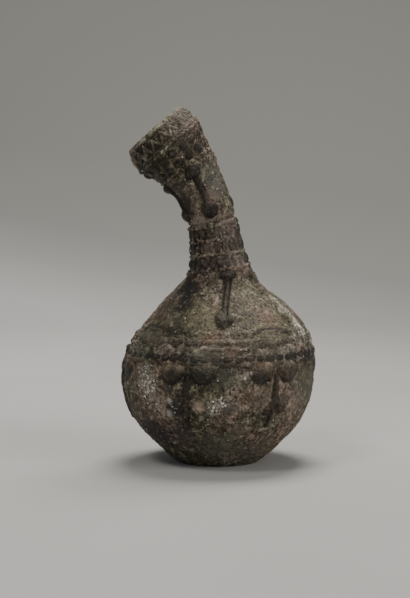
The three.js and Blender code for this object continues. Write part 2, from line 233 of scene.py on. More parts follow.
def dressed(tree, geometry, finish):
    return addNode(tree, "GeometryNodeSetMaterial", {"Geometry": geometry, "Material": finish}).outputs[0]


# Shader nodes that several finishes use

def newFinish(name):
    material = bpy.data.materials.new(name)
    material.use_nodes = True
    tree = material.node_tree
    where = addNode(tree, "ShaderNodeTexCoord").outputs["Object"]
    return material, tree, tree.nodes["Principled BSDF"].inputs, where


def surfaceValue(tree, name):
    return addNode(tree, "ShaderNodeAttribute", attribute_name=name).outputs["Fac"]


def firstChannel(tree, colour):
    return addNode(tree, "ShaderNodeSeparateColor", {0: colour}).outputs[0]


def ramp(tree, value, stops):
    node = addNode(tree, "ShaderNodeValToRGB", {"Fac": value})
    elements = node.color_ramp.elements
    elements[0].position, elements[0].color = stops[0]
    elements[1].position, elements[1].color = stops[-1]
    for place, colour in stops[1:-1]:
        elements.new(place).color = colour
    return node.outputs["Color"]


def mixColours(tree, share, first, second, blend="MIX"):
    inputs = {0: share, 6: first, 7: second}
    return addNode(tree, "ShaderNodeMix", inputs, data_type="RGBA", blend_type=blend).outputs[2]


# The casting's own unevenness, the same for the walls and for what sits on them

roughcast = {
    "warp": (26.0, 1.0, 1.0, 0.5),  # slow waves in the wall: scale, height, detail, roughness
    "lump": (120.0, 2.2, 3.0, 0.55),
    "grain": (430.0, 1.5, 3.0, 0.6),
    "pit": (250.0, 0.7), "pitEdge": (0.34, 0.08),  # scale and depth, and where its side starts and ends
    "pitGate": (48.0, 3.0), "pitGateAt": (0.5, 0.6),  # the noise that says where pits are
    "calm": 0.85,  # how much smoother the tops of the relief are
    "lumpKept": 0.5,  # how much of a lump stays where the rest is smooth
    "lumpShadeAndDirt": 1.4,  # how much dirt and painted shade lie on the low side of a lump, and of a grain
    "grainShadeAndDirt": 1.6,
    "creviceShadeReach": 1.1,  # how far the painted shade and dirt reach round the relief
}


def vesselLineObject():
    mesh = bpy.data.meshes.new("vesselLine")
    places = [(x * mm, 0, z * mm) for x, z in zip(line["x"], line["z"])]
    mesh.from_pydata(places, [(i, i + 1) for i in range(len(places) - 1)], [])
    values = np.stack([line["lean"], line["radius"] * mm, line["slope"]], 1)
    mesh.attributes.new("shape", "FLOAT_VECTOR", "POINT").data.foreach_set("vector", values.ravel())
    return addObject("vesselLine", mesh)


def unevenness(tree, base):
    # How far the casting stands off its plain form, in metres, and how much dirt and painted shade its hollows
    # hold
    def wave(name):
        scale, height, detail, roughness = roughcast[name]
        centred = minus(tree, noise(tree, base, scale, detail, roughness), 0.5)
        return centred, times(tree, centred, height * mm)

    warp = wave("warp")[1]
    lumpiness, lump = wave("lump")
    graininess, grain = wave("grain")
    rough = minus(tree, 1.0, times(tree, stored(tree, "relief"), roughcast["calm"]))
    pitScale, pitDepth = roughcast["pit"]
    cells = addNode(tree, "ShaderNodeTexVoronoi", {"Vector": base, "Scale": pitScale}).outputs["Distance"]
    gate = spread(tree, noise(tree, base, *roughcast["pitGate"]), *roughcast["pitGateAt"])
    pits = times(tree, spread(tree, cells, *roughcast["pitEdge"], smooth=True), gate)
    fine = minus(tree, grain, times(tree, pits, pitDepth * mm))
    kept = roughcast["lumpKept"]
    total = plus(tree, warp, times(tree, lump, calc(tree, "MULTIPLY_ADD", rough, 1 - kept, kept)))
    total = plus(tree, total, times(tree, fine, rough))
    total = times(tree, total, minus(tree, 1.0, stored(tree, "steady")))
    shadeAndDirt = plus(tree, pits, times(tree, lumpiness, -roughcast["lumpShadeAndDirt"]))
    shadeAndDirt = plus(tree, shadeAndDirt, times(tree, graininess, -roughcast["grainShadeAndDirt"]))
    return total, plus(tree, times(tree, shadeAndDirt, rough), stored(tree, "sunk"))


def wrapOnWallTree(lineObject):
    # Flat places (turn, s, lift) go to their place on the vessel
    tree, given, result = newTree("wrapOnWall", "GeometryNodeTree", [("Geometry", "Geometry")])
    here = position(tree)
    turn, s, lift = apart(tree, here)
    step = calc(tree, "DIVIDE", s, vessel["lineStep"] * mm)
    low = calc(tree, "FLOOR", step)
    share = minus(tree, step, low)
    lineShape = objectShape(tree, lineObject)

    def sampled(value):
        ends = []
        for index in (low, plus(tree, low, 1.0)):
            inputs = {"Geometry": lineShape, "Value": value, "Index": index}
            settings = {"data_type": "FLOAT_VECTOR", "domain": "POINT", "clamp": True}
            ends.append(addNode(tree, "GeometryNodeSampleIndex", inputs, **settings).outputs[0])
        way = vec(tree, "SUBTRACT", ends[1], ends[0])
        return vec(tree, "ADD", ends[0], vec(tree, "SCALE", way, scale=share))

    centre = sampled(here)
    lean, radius, slope = apart(tree, sampled(stored(tree, "shape", "FLOAT_VECTOR")))
    sine, cosine = calc(tree, "SINE", turn), calc(tree, "COSINE", turn)
    leanSine, leanCosine = calc(tree, "SINE", lean), calc(tree, "COSINE", lean)
    outX, outZ = times(tree, sine, leanCosine), times(tree, sine, leanSine)
    out = combined(tree, outX, times(tree, cosine, -1.0), outZ)
    up = combined(tree, times(tree, leanSine, -1.0), None, leanCosine)
    base = vec(tree, "ADD", centre, vec(tree, "SCALE", out, scale=radius))
    face = vec(tree, "NORMALIZE", vec(tree, "SUBTRACT", out, vec(tree, "SCALE", up, scale=slope)))
    uneven, shadeAndDirt = unevenness(tree, base)
    place = vec(tree, "ADD", base, vec(tree, "SCALE", face, scale=plus(tree, lift, uneven)))
    place = vec(tree, "SUBTRACT", place, vec(tree, "SCALE", out, scale=stored(tree, "inset")))
    # The darkness of the hollows, dirt and painted shade, goes to the finish
    kept = store(tree, given["Geometry"], "hollow", shadeAndDirt)
    moved = addNode(tree, "GeometryNodeSetPosition", {"Geometry": kept, "Position": place}).outputs[0]
    feed(tree, result, moved)
    return tree


vesselLine = vesselLineObject()
wrapOnWall = wrapOnWallTree(vesselLine)


def wrapped(tree, geometry):
    return addNode(tree, "GeometryNodeGroup", {"Geometry": geometry}, node_tree=wrapOnWall).outputs[0]


def castTree():
    # Any flat mesh: wrapped and given its finish. Walls also learn how near the relief is, for the painted
    # shade and dirt round it.
    tree, given, result = newTree("castPiece", "GeometryNodeTree", [
        ("Geometry", "Geometry"), ("Relief", "Collection"), ("Finish", "Material"),
    ])
    cast = wrapped(tree, given["Geometry"])
    relief = addNode(tree, "GeometryNodeCollectionInfo", {"Collection": given["Relief"]}).outputs[0]
    near = addNode(tree, "GeometryNodeProximity", {0: realized(tree, relief)}, target_element="FACES").outputs
    away = calc(tree, "DIVIDE", near["Distance"], -roughcast["creviceShadeReach"] * mm)
    found = times(tree, calc(tree, "POWER", math.e, away), near["Is Valid"])
    whole = realized(tree, store(tree, cast, "shelter", found))
    feed(tree, result, dressed(tree, whole, given["Finish"]))
    return tree


def pelletRowTree():
    # The object's own mesh is one pellet, laid out in a row round the wall. The turns are in radians.
    tree, given, result = newTree("pelletRow", "GeometryNodeTree", [
        ("Geometry", "Geometry"), ("Count", "Int"), ("Place", "Float"), ("First Turn", "Float"),
        ("Half Turn", "Float"), ("Half Length", "Float"), ("High", "Float"), ("Lift", "Float"),
        ("Uneven", "Float"), ("Shift", "Float"), ("Worn Turn", "Float"), ("Worn Reach", "Float"),
        ("Worn", "Float"), ("Seed", "Int"), ("Finish", "Material"),
    ])
    pitch = calc(tree, "DIVIDE", 2 * math.pi, given["Count"])
    points = addNode(tree, "GeometryNodeMeshLine", {
        "Count": given["Count"], "Offset": combined(tree, pitch),
        "Start Location": combined(tree, given["First Turn"], given["Place"], given["Lift"]),
    }, mode="OFFSET").outputs[0]

    def chance(low, high, seedStep):
        inputs = {2: low, 3: high, "Seed": plus(tree, given["Seed"], float(seedStep))}
        return addNode(tree, "FunctionNodeRandomValue", inputs, data_type="FLOAT").outputs[1]

    uneven, halfTurn, halfLength = given["Uneven"], given["Half Turn"], given["Half Length"]
    fewer, more = minus(tree, 1.0, uneven), plus(tree, 1.0, uneven)
    back, forth = times(tree, given["Shift"], -1.0), given["Shift"]
    shiftTurn = times(tree, chance(back, forth, 1), times(tree, uneven, halfTurn))
    shiftUp = times(tree, chance(back, forth, 2), times(tree, uneven, halfLength))
    moved = addNode(tree, "GeometryNodeSetPosition", {
        "Geometry": points, "Offset": combined(tree, shiftTurn, shiftUp),
    }).outputs[0]
    turn = apart(tree, position(tree))[0]
    away = calc(tree, "DIVIDE", minus(tree, turn, given["Worn Turn"]), given["Worn Reach"])
    near = calc(tree, "POWER", math.e, times(tree, times(tree, away, away), -1.0))
    left = minus(tree, 1.0, times(tree, near, given["Worn"]))
    high = times(tree, given["High"], chance(minus(tree, fewer, uneven), more, 5))
    wide = times(tree, halfTurn, chance(fewer, more, 3))
    tall = times(tree, halfLength, chance(fewer, more, 4))
    size = combined(tree, wide, tall, times(tree, high, left))
    placed = addNode(tree, "GeometryNodeInstanceOnPoints", {
        "Points": moved, "Instance": given["Geometry"], "Scale": size,
    }).outputs[0]
    feed(tree, result, dressed(tree, wrapped(tree, realized(tree, placed)), given["Finish"]))
    return tree


castPiece = castTree()
pelletRow = pelletRowTree()


# Finishes: earth and patina over bronze, with painted shade in the hollows and round the relief. Colours are
# linear.

patina = {
    # the darkest patina, also the colour of the painted shade in hollows and round the relief
    "sootAndShade": (0.013, 0.0095, 0.0062, 1.0),
    "umber": (0.043, 0.0315, 0.0195, 1.0),
    "drab": (0.101, 0.083, 0.055, 1.0),
    "clay": (0.203, 0.176, 0.131, 1.0),
    "dust": (0.36, 0.328, 0.270, 1.0),
    "chalk": (0.74, 0.71, 0.64, 1.0),
    "plum": (1.13, 0.95, 0.915, 1.0),  # tints, times the colour under them
    "green": (0.96, 1.02, 0.84, 1.0),
}

stains = [  # place (s, turn), radius, colour, strength, and how far it breaks up into grains
    (107, -16, 15, (0.265, 0.225, 0.135), 0.55, 0.7),
    (112, 30, 15, (0.19, 0.172, 0.13), 0.4, 0.6),
    (83, -10, 13, (0.26, 0.225, 0.165), 0.5, 0.5),
    (100, -58, 11, (0.16, 0.15, 0.088), 0.55, 0.5),
    (58, 78, 14, (0.125, 0.106, 0.092), 0.7, 0.3),
    (91.4, -9, 6, (0.26, 0.13, 0.085), 0.6, 0.4),
    (83.8, 7.5, 7, (0.28, 0.17, 0.12), 0.6, 0.4),
    (104, 38, 9, (0.23, 0.13, 0.095), 0.5, 0.5),
    (166, 45, 7, (0.25, 0.155, 0.135), 0.6, 0.5),
    (185, 17, 6, (0.27, 0.17, 0.15), 0.6, 0.4),
    (199, 38, 8, (0.125, 0.130, 0.115), 0.6, 0.5),
    (189, 32, 8, (0.145, 0.145, 0.125), 0.5, 0.6),
    (190, 58, 9, (0.125, 0.106, 0.090), 0.6, 0.3),
    (229, 56, 6, (0.26, 0.14, 0.13), 0.65, 0.4),
    (238, 42, 12, (0.125, 0.098, 0.078), 0.8, 0.4),
    (232, 20, 14, (0.20, 0.17, 0.125), 0.4, 0.6),
    (217, -65, 9, (0.070, 0.054, 0.055), 0.7, 0.2),
    (187, -25, 8, (0.17, 0.15, 0.10), 0.5, 0.4),
    (184, -62, 10, (0.024, 0.018, 0.013), 0.95, 0.1),
    (199, -50, 9, (0.040, 0.029, 0.025), 0.75, 0.3),
    (161, 35, 9, (0.22, 0.175, 0.15), 0.8, 0.6),
    (144, 38, 10, (0.20, 0.165, 0.14), 0.8, 0.7),
    (137, 43, 8, (0.25, 0.165, 0.14), 0.7, 0.5),
    (66, -50, 8, (0.33, 0.30, 0.245), 0.8, 0.9),
    (57, -46, 9, (0.36, 0.335, 0.28), 0.85, 0.9),
    (46, -41, 6.5, (0.32, 0.30, 0.255), 0.75, 0.9),
    (60, -30, 5, (0.034, 0.028, 0.022), 0.7, 0.2),
    (50, -30, 2.2, (0.60, 0.58, 0.54), 0.9, 0.2),
    (41.5, -31, 2.8, (0.56, 0.54, 0.51), 0.9, 0.3),
    (45, -4, 5, (0.36, 0.34, 0.30), 0.7, 1.0),
    (50, 2, 5, (0.42, 0.40, 0.36), 0.75, 1.0),
    (87, 18, 24, (0.235, 0.195, 0.15), 0.45, 0.7),
    (69.7, 19, 1.7, (0.66, 0.63, 0.57), 0.95, 0.0),
    (66.6, 15, 1.3, (0.58, 0.55, 0.50), 0.95, 0.0),
    # The next four pale stains down the right shoulder are pale crust and partly a painted highlight
    (115, 62, 5.5, (0.44, 0.38, 0.28), 0.85, 0.8),
    (108, 63, 6, (0.54, 0.47, 0.37), 0.95, 0.8),
    (101, 66, 6.5, (0.54, 0.48, 0.39), 0.95, 0.8),
    (93, 67, 6.5, (0.48, 0.43, 0.36), 0.85, 0.9),
    (51, 26, 9, (0.165, 0.13, 0.10), 0.5, 0.4),
    (54, 56, 18, (0.135, 0.115, 0.095), 0.5, 0.4),
    (47, -12, 5, (0.36, 0.27, 0.20), 0.95, 0.1),
    (29, 13, 7, (0.155, 0.12, 0.085), 0.6, 0.3),
    (19, -3, 14, (0.105, 0.108, 0.078), 0.5, 0.4),
    (46, 8, 6, (0.064, 0.070, 0.066), 0.6, 0.3),
    (70, 4, 9, (0.044, 0.050, 0.046), 0.5, 0.3),
    (112, -66, 11, (0.115, 0.097, 0.072), 0.6, 0.3),
    # The next three dark stains are painted shade: a dark streak down the left of the shoulder
    (125, -47, 6, (0.018, 0.015, 0.012), 0.95, 0.0),
    (118.5, -42, 6.5, (0.020, 0.017, 0.013), 0.97, 0.0),
    (112, -39, 6.5, (0.024, 0.020, 0.015), 0.9, 0.0),
    (140, -42, 8, (0.012, 0.010, 0.009), 0.95, 0.1),
    (160, -52, 7, (0.016, 0.013, 0.010), 0.85, 0.15),
    (151, -62, 6, (0.016, 0.013, 0.010), 0.7, 0.2),
    (152, -12, 6, (0.21, 0.165, 0.14), 0.6, 0.5),
    (141, 6, 6, (0.070, 0.060, 0.062), 0.6, 0.3),
    (171, -30, 5.5, (0.22, 0.18, 0.145), 0.8, 0.3),
    (84, -64, 18, (0.044, 0.047, 0.026), 0.75, 0.4),
    (45, -27, 7, (0.028, 0.023, 0.022), 0.75, 0.3),
    (24, -50, 18, (0.040, 0.031, 0.033), 0.93, 0.08),
    (25, -27, 11, (0.056, 0.044, 0.046), 0.75, 0.15),
    (13, 6, 17, (0.155, 0.145, 0.108), 0.6, 0.4),
    (12, 42, 15, (0.125, 0.120, 0.092), 0.65, 0.3),
    (193, -40, 7, (0.046, 0.037, 0.028), 0.65, 0.5),
    (234, -50, 15, (0.024, 0.020, 0.013), 0.7, 0.3),
]

strayStains = {  # on the sides and back, which the photograph doesn't show
    "count": 16, "places": (12, 235), "turns": (95, 265), "radius": (9, 20), "strength": (0.35, 0.7),
    "broken": 0.45, "seed": 19,
    "colours": [(0.24, 0.205, 0.15), (0.030, 0.025, 0.020), (0.072, 0.078, 0.050), (0.20, 0.13, 0.10)],
}


def addStrayStains():
    chance = np.random.default_rng(strayStains["seed"])
    colours = strayStains["colours"]
    for i in range(strayStains["count"]):
        drawn = [chance.uniform(*strayStains[key]) for key in ("places", "turns", "radius", "strength")]
        s, turn, radius, strength = drawn
        stains.append((s, turn, radius, colours[i % len(colours)], strength, strayStains["broken"]))


addStrayStains()

stainEdge = {
    "ragged": 3.2,  # how far the noise moves the edge, in radii
    "fade": (1.35, 0.35),  # radii at which a stain is gone, and full
    "gaps": (0.60, 0.40),  # grit that shows through a broken stain: all, and none
    "onRelief": 0.35,  # how much of a stain stays on the tops of the relief
}


def stainGroup():
    tree, given, result = newTree("stain", "ShaderNodeTree", [
        ("Colour", "Color"), ("Where", "Vector"), ("Centre", "Vector"), ("Radius", "Float"),
        ("Stain", "Color"), ("Strength", "Float"), ("Broken", "Float"), ("Edge", "Float"),
        ("Grains", "Float"), ("Relief", "Float"),
    ], ("Colour", "Color"))
    away = calc(tree, "DIVIDE", vec(tree, "DISTANCE", given["Where"], given["Centre"]), given["Radius"])
    ragged = plus(tree, away, times(tree, minus(tree, given["Edge"], 0.5), stainEdge["ragged"]))
    cover = times(tree, spread(tree, ragged, *stainEdge["fade"], smooth=True), given["Strength"])
    gaps = times(tree, spread(tree, given["Grains"], *stainEdge["gaps"]), given["Broken"])
    cover = times(tree, cover, minus(tree, 1.0, gaps))
    cover = times(tree, cover, spread(tree, given["Relief"], 0.0, 1.0, 1.0, stainEdge["onRelief"]))
    feed(tree, result, mixColours(tree, cover, given["Colour"], given["Stain"]))
    return tree


stain = stainGroup()


def stained(tree, colour, shared):
    for s, turn, radius, tint, strength, broken in stains:
        colour = addNode(tree, "ShaderNodeGroup", {
            "Colour": colour, "Centre": tuple(wallPoint(s, turn)), "Radius": radius * mm,
            "Stain": (*tint, 1.0), "Strength": strength, "Broken": broken, **shared,
        }, node_tree=stain).outputs["Colour"]
    return colour


bronze = {
    "broad": (34.0, 9.0, 0.62),  # this and the next five: scale, detail, roughness
    "mottle": (150.0, 8.0, 0.70),
    "hue": (36.0, 4.0, 0.55),
    "grit": (620.0, 3.0, 0.55),
    "streaks": (420.0, 3.0, 0.6),
    "bend": (500.0, 2.0, 0.5),
    "bendBy": 0.0022,  # metres that the edges of the grains are bent
    "grainScale": 400.0,
    "streakStretch": (1.0, 1.0, 0.28),
    "broadWeight": 0.75,
    "weights": (1.0, 1.0, 0.34, 0.5),  # of mottle, grit, grains and streaks
    "reliefWeight": 0.5,  # how much of those four is left on the tops of the relief
    "tones": {"sootAndShade": 0.18, "umber": 0.36, "drab": 0.52, "clay": 0.70, "dust": 0.92},
    "plumAt": (0.48, 0.62), "greenAt": (0.52, 0.38),  # stretches of the hue noise
    "rubbed": 0.3,  # how pale the worn tops of the relief are, from what height, and in which patches
    "rubbedTops": (0.6, 1.0), "rubbedPatches": (0.50, 0.66),
    "dustPatches": (0.44, 0.56),
    "sootAndShadeInHollows": (0.15, 0.85, 0.0, 0.85),  # soot and painted shade in the hollows: hollowness from and to, cover from and to
    # painted shade and dirt round the relief: nearness from and to, cover from and to
    "creviceShadeAndDirtCover": (0.3, 1.0, 0.0, 0.75),
    "gloss": 0.38,
    "dull": (0.2, 0.6, 0.5, 0.88),  # tone from and to, roughness from and to
    "handled": 0.12,  # how much smoother the tops of the relief are
    "mottleBump": 0.8, "grainBump": -0.5, "bumpDepth": 0.0013,
}


def bronzeFinish(name, tone, metal):
    material, tree, shader, where = newFinish(name)
    measured = ("relief", "hollow", "shelter", "dusty", "tone")
    relief, hollow, shelter, dusty, pieceTone = [surfaceValue(tree, key) for key in measured]
    grains = ("broad", "mottle", "hue", "grit")
    broad, mottle, hue, grit = [noise(tree, where, *bronze[key]) for key in grains]
    bend = vec(tree, "SUBTRACT", noise(tree, where, *bronze["bend"], output="Color"), (0.5, 0.5, 0.5))
    bent = vec(tree, "ADD", where, vec(tree, "SCALE", bend, scale=bronze["bendBy"]))
    cells = addNode(tree, "ShaderNodeTexVoronoi", {"Vector": bent, "Scale": bronze["grainScale"]}).outputs
    streaks = noise(tree, vec(tree, "MULTIPLY", where, bronze["streakStretch"]), *bronze["streaks"])

    value = plus(tree, plus(tree, tone, pieceTone), times(tree, broad, bronze["broadWeight"]))
    swing = 0.0
    for part, weight in zip((mottle, grit, firstChannel(tree, cells["Color"]), streaks), bronze["weights"]):
        swing = plus(tree, swing, times(tree, minus(tree, part, 0.5), weight))
    onRelief = spread(tree, relief, 0.0, 1.0, 1.0, bronze["reliefWeight"])
    value = plus(tree, value, times(tree, swing, onRelief))
    colour = ramp(tree, value, [(place, patina[key]) for key, place in bronze["tones"].items()])
    colour = mixColours(tree, spread(tree, hue, *bronze["plumAt"]), colour, patina["plum"], "MULTIPLY")
    colour = mixColours(tree, spread(tree, hue, *bronze["greenAt"]), colour, patina["green"], "MULTIPLY")
    colour = stained(tree, colour, {"Where": where, "Edge": mottle, "Grains": grit, "Relief": relief})

    patches = spread(tree, mottle, *bronze["rubbedPatches"])
    rubbed = times(tree, spread(tree, relief, *bronze["rubbedTops"]), patches)
    colour = mixColours(tree, times(tree, rubbed, bronze["rubbed"]), colour, patina["clay"])
    # Soot in pits, grooves and the low sides of lumps: dirt, and painted shade in the recesses
    colour = mixColours(tree, spread(tree, hollow, *bronze["sootAndShadeInHollows"]), colour, patina["sootAndShade"])
    # Painted shade round the relief: soot near it, and pale dust in patches on dusty walls
    creviceShadeAndDust = times(tree, dusty, spread(tree, mottle, *bronze["dustPatches"]))
    creviceShadeAndDust = mixColours(tree, creviceShadeAndDust, patina["sootAndShade"], patina["dust"])
    colour = mixColours(tree, spread(tree, shelter, *bronze["creviceShadeAndDirtCover"]), colour, creviceShadeAndDust)

    feed(tree, shader["Base Color"], colour)
    shader["Metallic"].default_value = metal
    shader["Specular IOR Level"].default_value = bronze["gloss"]
    dull = spread(tree, value, *bronze["dull"])
    feed(tree, shader["Roughness"], minus(tree, dull, times(tree, relief, bronze["handled"])))
    height = plus(tree, grit, times(tree, mottle, bronze["mottleBump"]))
    height = plus(tree, height, times(tree, cells["Distance"], bronze["grainBump"]))
    bump = {"Strength": 1.0, "Distance": bronze["bumpDepth"], "Height": height}
    feed(tree, shader["Normal"], addNode(tree, "ShaderNodeBump", bump).outputs["Normal"])
    return material


finishes = {  # material's name, tone, metal
    "wall_bronze": bronzeFinish("earthyBronze", 0.155, 0.1),
    "relief_bronze": bronzeFinish("darkReliefBronze", 0.05, 0.2),
    "foot_bronze": bronzeFinish("dirtyFootBronze", 0.14, 0.1),
}
slotOf = {part["node"]: part["material_slot"] for part in frame["record"]["subparts"]}
reliefParts = bpy.data.collections.new("reliefParts")
print("finishes: made", len(finishes), "with", len(stains), "stains")


# From flat mesh to finished piece

sharpFrom = 70  # degrees between faces


def grown(name, mesh, tree, inputs):
    # The mesh that a tree makes of another
    rough = addObject(name, mesh)
    modifier = rough.modifiers.new(tree.name, "NODES")
    modifier.node_group = tree
    for item in tree.interface.items_tree:
        if item.in_out == "INPUT" and item.name in inputs:
            modifier[item.identifier] = inputs[item.name]
    ready = bpy.context.evaluated_depsgraph_get()
    made = bpy.data.meshes.new_from_object(rough.evaluated_get(ready), depsgraph=ready)
    bpy.data.objects.remove(rough)
    return made


def finishPiece(node, flat, tree, inputs=None, onWall=True):
    inputs = dict(inputs or {}, Finish=finishes[slotOf[node]])
    if not onWall:
        inputs["Relief"] = reliefParts
    mesh = grown(node + "Flat", flat, tree, inputs)
    mesh.shade_smooth()
    mesh.set_sharp_from_angle(angle=math.radians(sharpFrom))
    piece = addObject(node + "_cast", mesh)
    if onWall:
        reliefParts.objects.link(piece)
    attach(piece, "root")
    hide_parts(node)


def flatMesh(name, places, faces, **values):
    # Each of these values may be given, as one number or as one for each point
    mesh = bpy.data.meshes.new(name)
    mesh.from_pydata(np.asarray(places).tolist(), [], faces)
    for key in ("inset", "steady", "sunk", "relief", "tone", "crust", "dusty"):
        numbers = np.resize(np.asarray(values.get(key, 0.0), float).ravel(), len(places))
        mesh.attributes.new(key, "FLOAT", "POINT").data.foreach_set("value", numbers)
    return mesh


marks = [  # lumps and dents in the wall: place, half-width, half-length, height
    {"at": (47, -13), "size": (3.4, 7.0), "high": 1.3},
    {"at": (61, -44), "size": (10.0, 10.0), "high": 0.6},
    {"at": (46, -1), "size": (8.0, 6.0), "high": 0.5},
    {"at": (192, 92), "size": (6.0, 9.0), "high": 1.1},
    {"at": (206, 88), "size": (3.2, 3.6), "high": 0.6},
    {"at": (36, 20), "size": (6.0, 3.0), "high": 0.7},
    {"at": (30, 28), "size": (5.0, 3.0), "high": 0.7},
    {"at": (40, -52), "size": (7.0, 5.0), "high": -0.6},
    {"at": (82, -62), "size": (20.0, 11.0), "high": 1.2},
]
grooveShadeAndDirt = 0.7  # how much dirt and painted shade each mm of a groove's depth holds
grooves = [  # rings cut or raised right round the wall: from, to, soft edge, height
    {"from": 95.0, "to": 96.4, "edge": 0.6, "high": 0.4},
    {"from": 168.2, "to": 169.4, "edge": 0.6, "high": -0.9},
    {"from": 232.4, "to": 240.8, "edge": 0.9, "high": -1.1, "worn": (58, 44, 0.95)},
    {"from": 241.2, "to": 242.4, "edge": 0.5, "high": -0.9, "worn": (60, 40, 0.7)},
]
crust = {  # earth grains: thin everywhere, thick in patches
    "thin": 0.22, "size": (0.35, 0.95), "seed": 5,
    "most": 260000,  # grains to a square metre where the crust is 1 thick
    "patches": [  # place (s, turn), radius, thickness
        (65, -50, 9, 1.7), (57, -46, 10, 2.0), (48, -40, 7, 1.7), (49, 1, 4.5, 3.0), (45, -4, 4.5, 2.2),
        # the last four on the next line, down the right shoulder, are pale earth and partly a painted
        # highlight
        (44, -30, 5, 0.9), (115, 61, 5, 2.0), (109, 63, 5.5, 2.6), (102, 66, 6, 2.8), (94, 67, 6, 2.2),
        (84, -68, 12, 0.6), (150, 30, 12, 0.5), (110, 0, 26, 0.35), (200, 25, 12, 0.4),
        (60, 150, 14, 0.9), (98, -150, 12, 0.8), (50, 100, 10, 0.8),
    ],
}
strayMarks = {
    "count": 70, "places": (8, 235), "turns": (-180, 180), "size": (1.5, 5.0), "high": 0.45, "seed": 7,
}


def addStrayMarks():
    chance = np.random.default_rng(strayMarks["seed"])
    for _ in range(strayMarks["count"]):
        size = tuple(chance.uniform(*strayMarks["size"], 2))
        at = (chance.uniform(*strayMarks["places"]), chance.uniform(*strayMarks["turns"]))
        marks.append({"at": at, "size": size, "high": strayMarks["high"] * chance.uniform(-1, 1)})


addStrayMarks()


def turnGap(turn, middle):
    return (np.degrees(turn) - middle + 180) % 360 - 180


def grooveAt(s, turn):
    total = np.zeros(np.broadcast(s, turn).shape)
    for groove in grooves:
        low, high, edge = groove["from"], groove["to"], groove["edge"]
        inside = rise(s, low - edge, low + edge) - rise(s, high - edge, high + edge)
        middle, reach, share = groove.get("worn", (0, 1, 0))
        left = 1 - share * np.exp(-(turnGap(turn, middle) / reach) ** 2)
        total = total + groove["high"] * inside * left
    return total


def wallMarks(s, turn):
    # turn in radians here, as the flat places have it; the result is in mm
    total = np.zeros(np.broadcast(s, turn).shape)
    arc = along("arc", s)
    radius = along("radius", s)
    for mark in marks:
        across = np.radians(turnGap(turn, mark["at"][1])) * radius / mark["size"][0]
        up = (arc - along("arc", mark["at"][0])) / mark["size"][1]
        total = total + mark["high"] * np.exp(-((across ** 2 + up ** 2) ** 1.5) * 1.2)
    return total + grooveAt(s, turn)


def crustAt(s, turn):
    thick = np.full(np.broadcast(s, turn).shape, crust["thin"])
    for place, middle, radius, most in crust["patches"]:
        across = np.radians(turnGap(turn, middle)) * along("radius", s)
        up = along("arc", s) - along("arc", place)
        thick = thick + most * np.exp(-((np.hypot(across, up) / radius) ** 2))
    return thick


def shellMesh(name, profile, sides, ends="closed", **values):
    # Rows of (s, lift, inset, steady), up the outside and down the inside. With ends="poles" the first row
    # and the last are one point each, on the axis line.
    rows = np.array(profile, float)
    turns = np.arange(sides) * 2 * math.pi / sides
    s, turn = np.meshgrid(rows[:, 0], turns, indexing="ij")
    outside = rows[:, 2][:, None] == 0
    lift = rows[:, 1][:, None] + np.where(outside, wallMarks(s, turn), 0) * (1 - rows[:, 3][:, None])
    thick = np.where(outside, crustAt(s, turn), 0).ravel()
    sunk = np.where(outside, np.maximum(0, -grooveAt(s, turn)) * grooveShadeAndDirt, 0).ravel()
    places = np.stack([turn, s * mm, lift * mm], 2).reshape(-1, 3)
    inset = np.repeat(rows[:, 2] * mm, sides)
    steady = np.repeat(rows[:, 3], sides)
    count = len(rows)
    index = np.arange(count * sides).reshape(count, sides)
    faces = []
    last = count if ends == "closed" else count - 1
    for i in range(last):
        low, high = index[i], index[(i + 1) % count]
        if ends == "poles" and i == 0:
            faces += [(int(low[0]), int(high[(k + 1) % sides]), int(high[k])) for k in range(sides)]
        elif ends == "poles" and i == last - 1:
            faces += [(int(low[k]), int(low[(k + 1) % sides]), int(high[0])) for k in range(sides)]
        else:
            quads = np.stack([low, np.roll(low, -1), np.roll(high, -1), high], 1)
            faces += quads.tolist()
    if ends == "poles":
        keep = np.ones(count * sides, bool)
        keep[index[0, 1:]] = False
        keep[index[-1, 1:]] = False
        new = np.cumsum(keep) - 1
        faces = [tuple(int(new[v]) for v in face) for face in faces]
        places, inset, steady, thick, sunk = (part[keep] for part in (places, inset, steady, thick, sunk))
    return flatMesh(name, places, faces, inset=inset, steady=steady, sunk=sunk, crust=thick, **values)


walls = {
    "footSides": 320, "bodySides": 640, "neckSides": 300, "cupSides": 420,
    "pace": 0.7, "neckPace": 0.5, "lipPace": 0.4, "insidePace": 6.0,  # mm from one row of points to the next
    "plugRadius": 21.0, "plugHeight": 6.5, "plugGap": 0.3, "footSeam": 2.4,
    "footSteady": 0.3, "steadyTo": 8.0,  # the bowl is calmer where it meets the foot
    "beltFrom": 74.0, "beltTo": 92.0, "beltProud": 0.6, "beltEdge": 1.8,
    "throatSeam": 134.0, "elbowSeam": 172.5, "cupSeam": 205.0, "lipSeam": 243.5, "lipLap": 3.5, "lipGap": 0.3,
    "lipTone": 0.22,
    "dusty": {"belly_belt": 0.7, "neck_sleeve": 0.8},  # walls whose trim has pale dust round it, in place of soot and painted shade
}


def wallInset(s):
    return vessel["thick"] * np.hypot(1, along("slope", s))


def outsideRows(low, high, pace):
    return [(s, 0.0, 0.0, 0.0) for s in rowsBetween(low, high, pace)]


def insideRows(high, low):
    return [(s, 0.0, wallInset(s), 0.0) for s in rowsBetween(high, low, walls["insidePace"])]


def makeWall(node, rows, sides, ends="closed", **values):
    finishPiece(node, shellMesh(node + "Rows", rows, sides, ends, **values), castPiece, onWall=False)


def plugInset(s):
    return along("radius", s) - walls["plugRadius"] - walls["plugGap"]


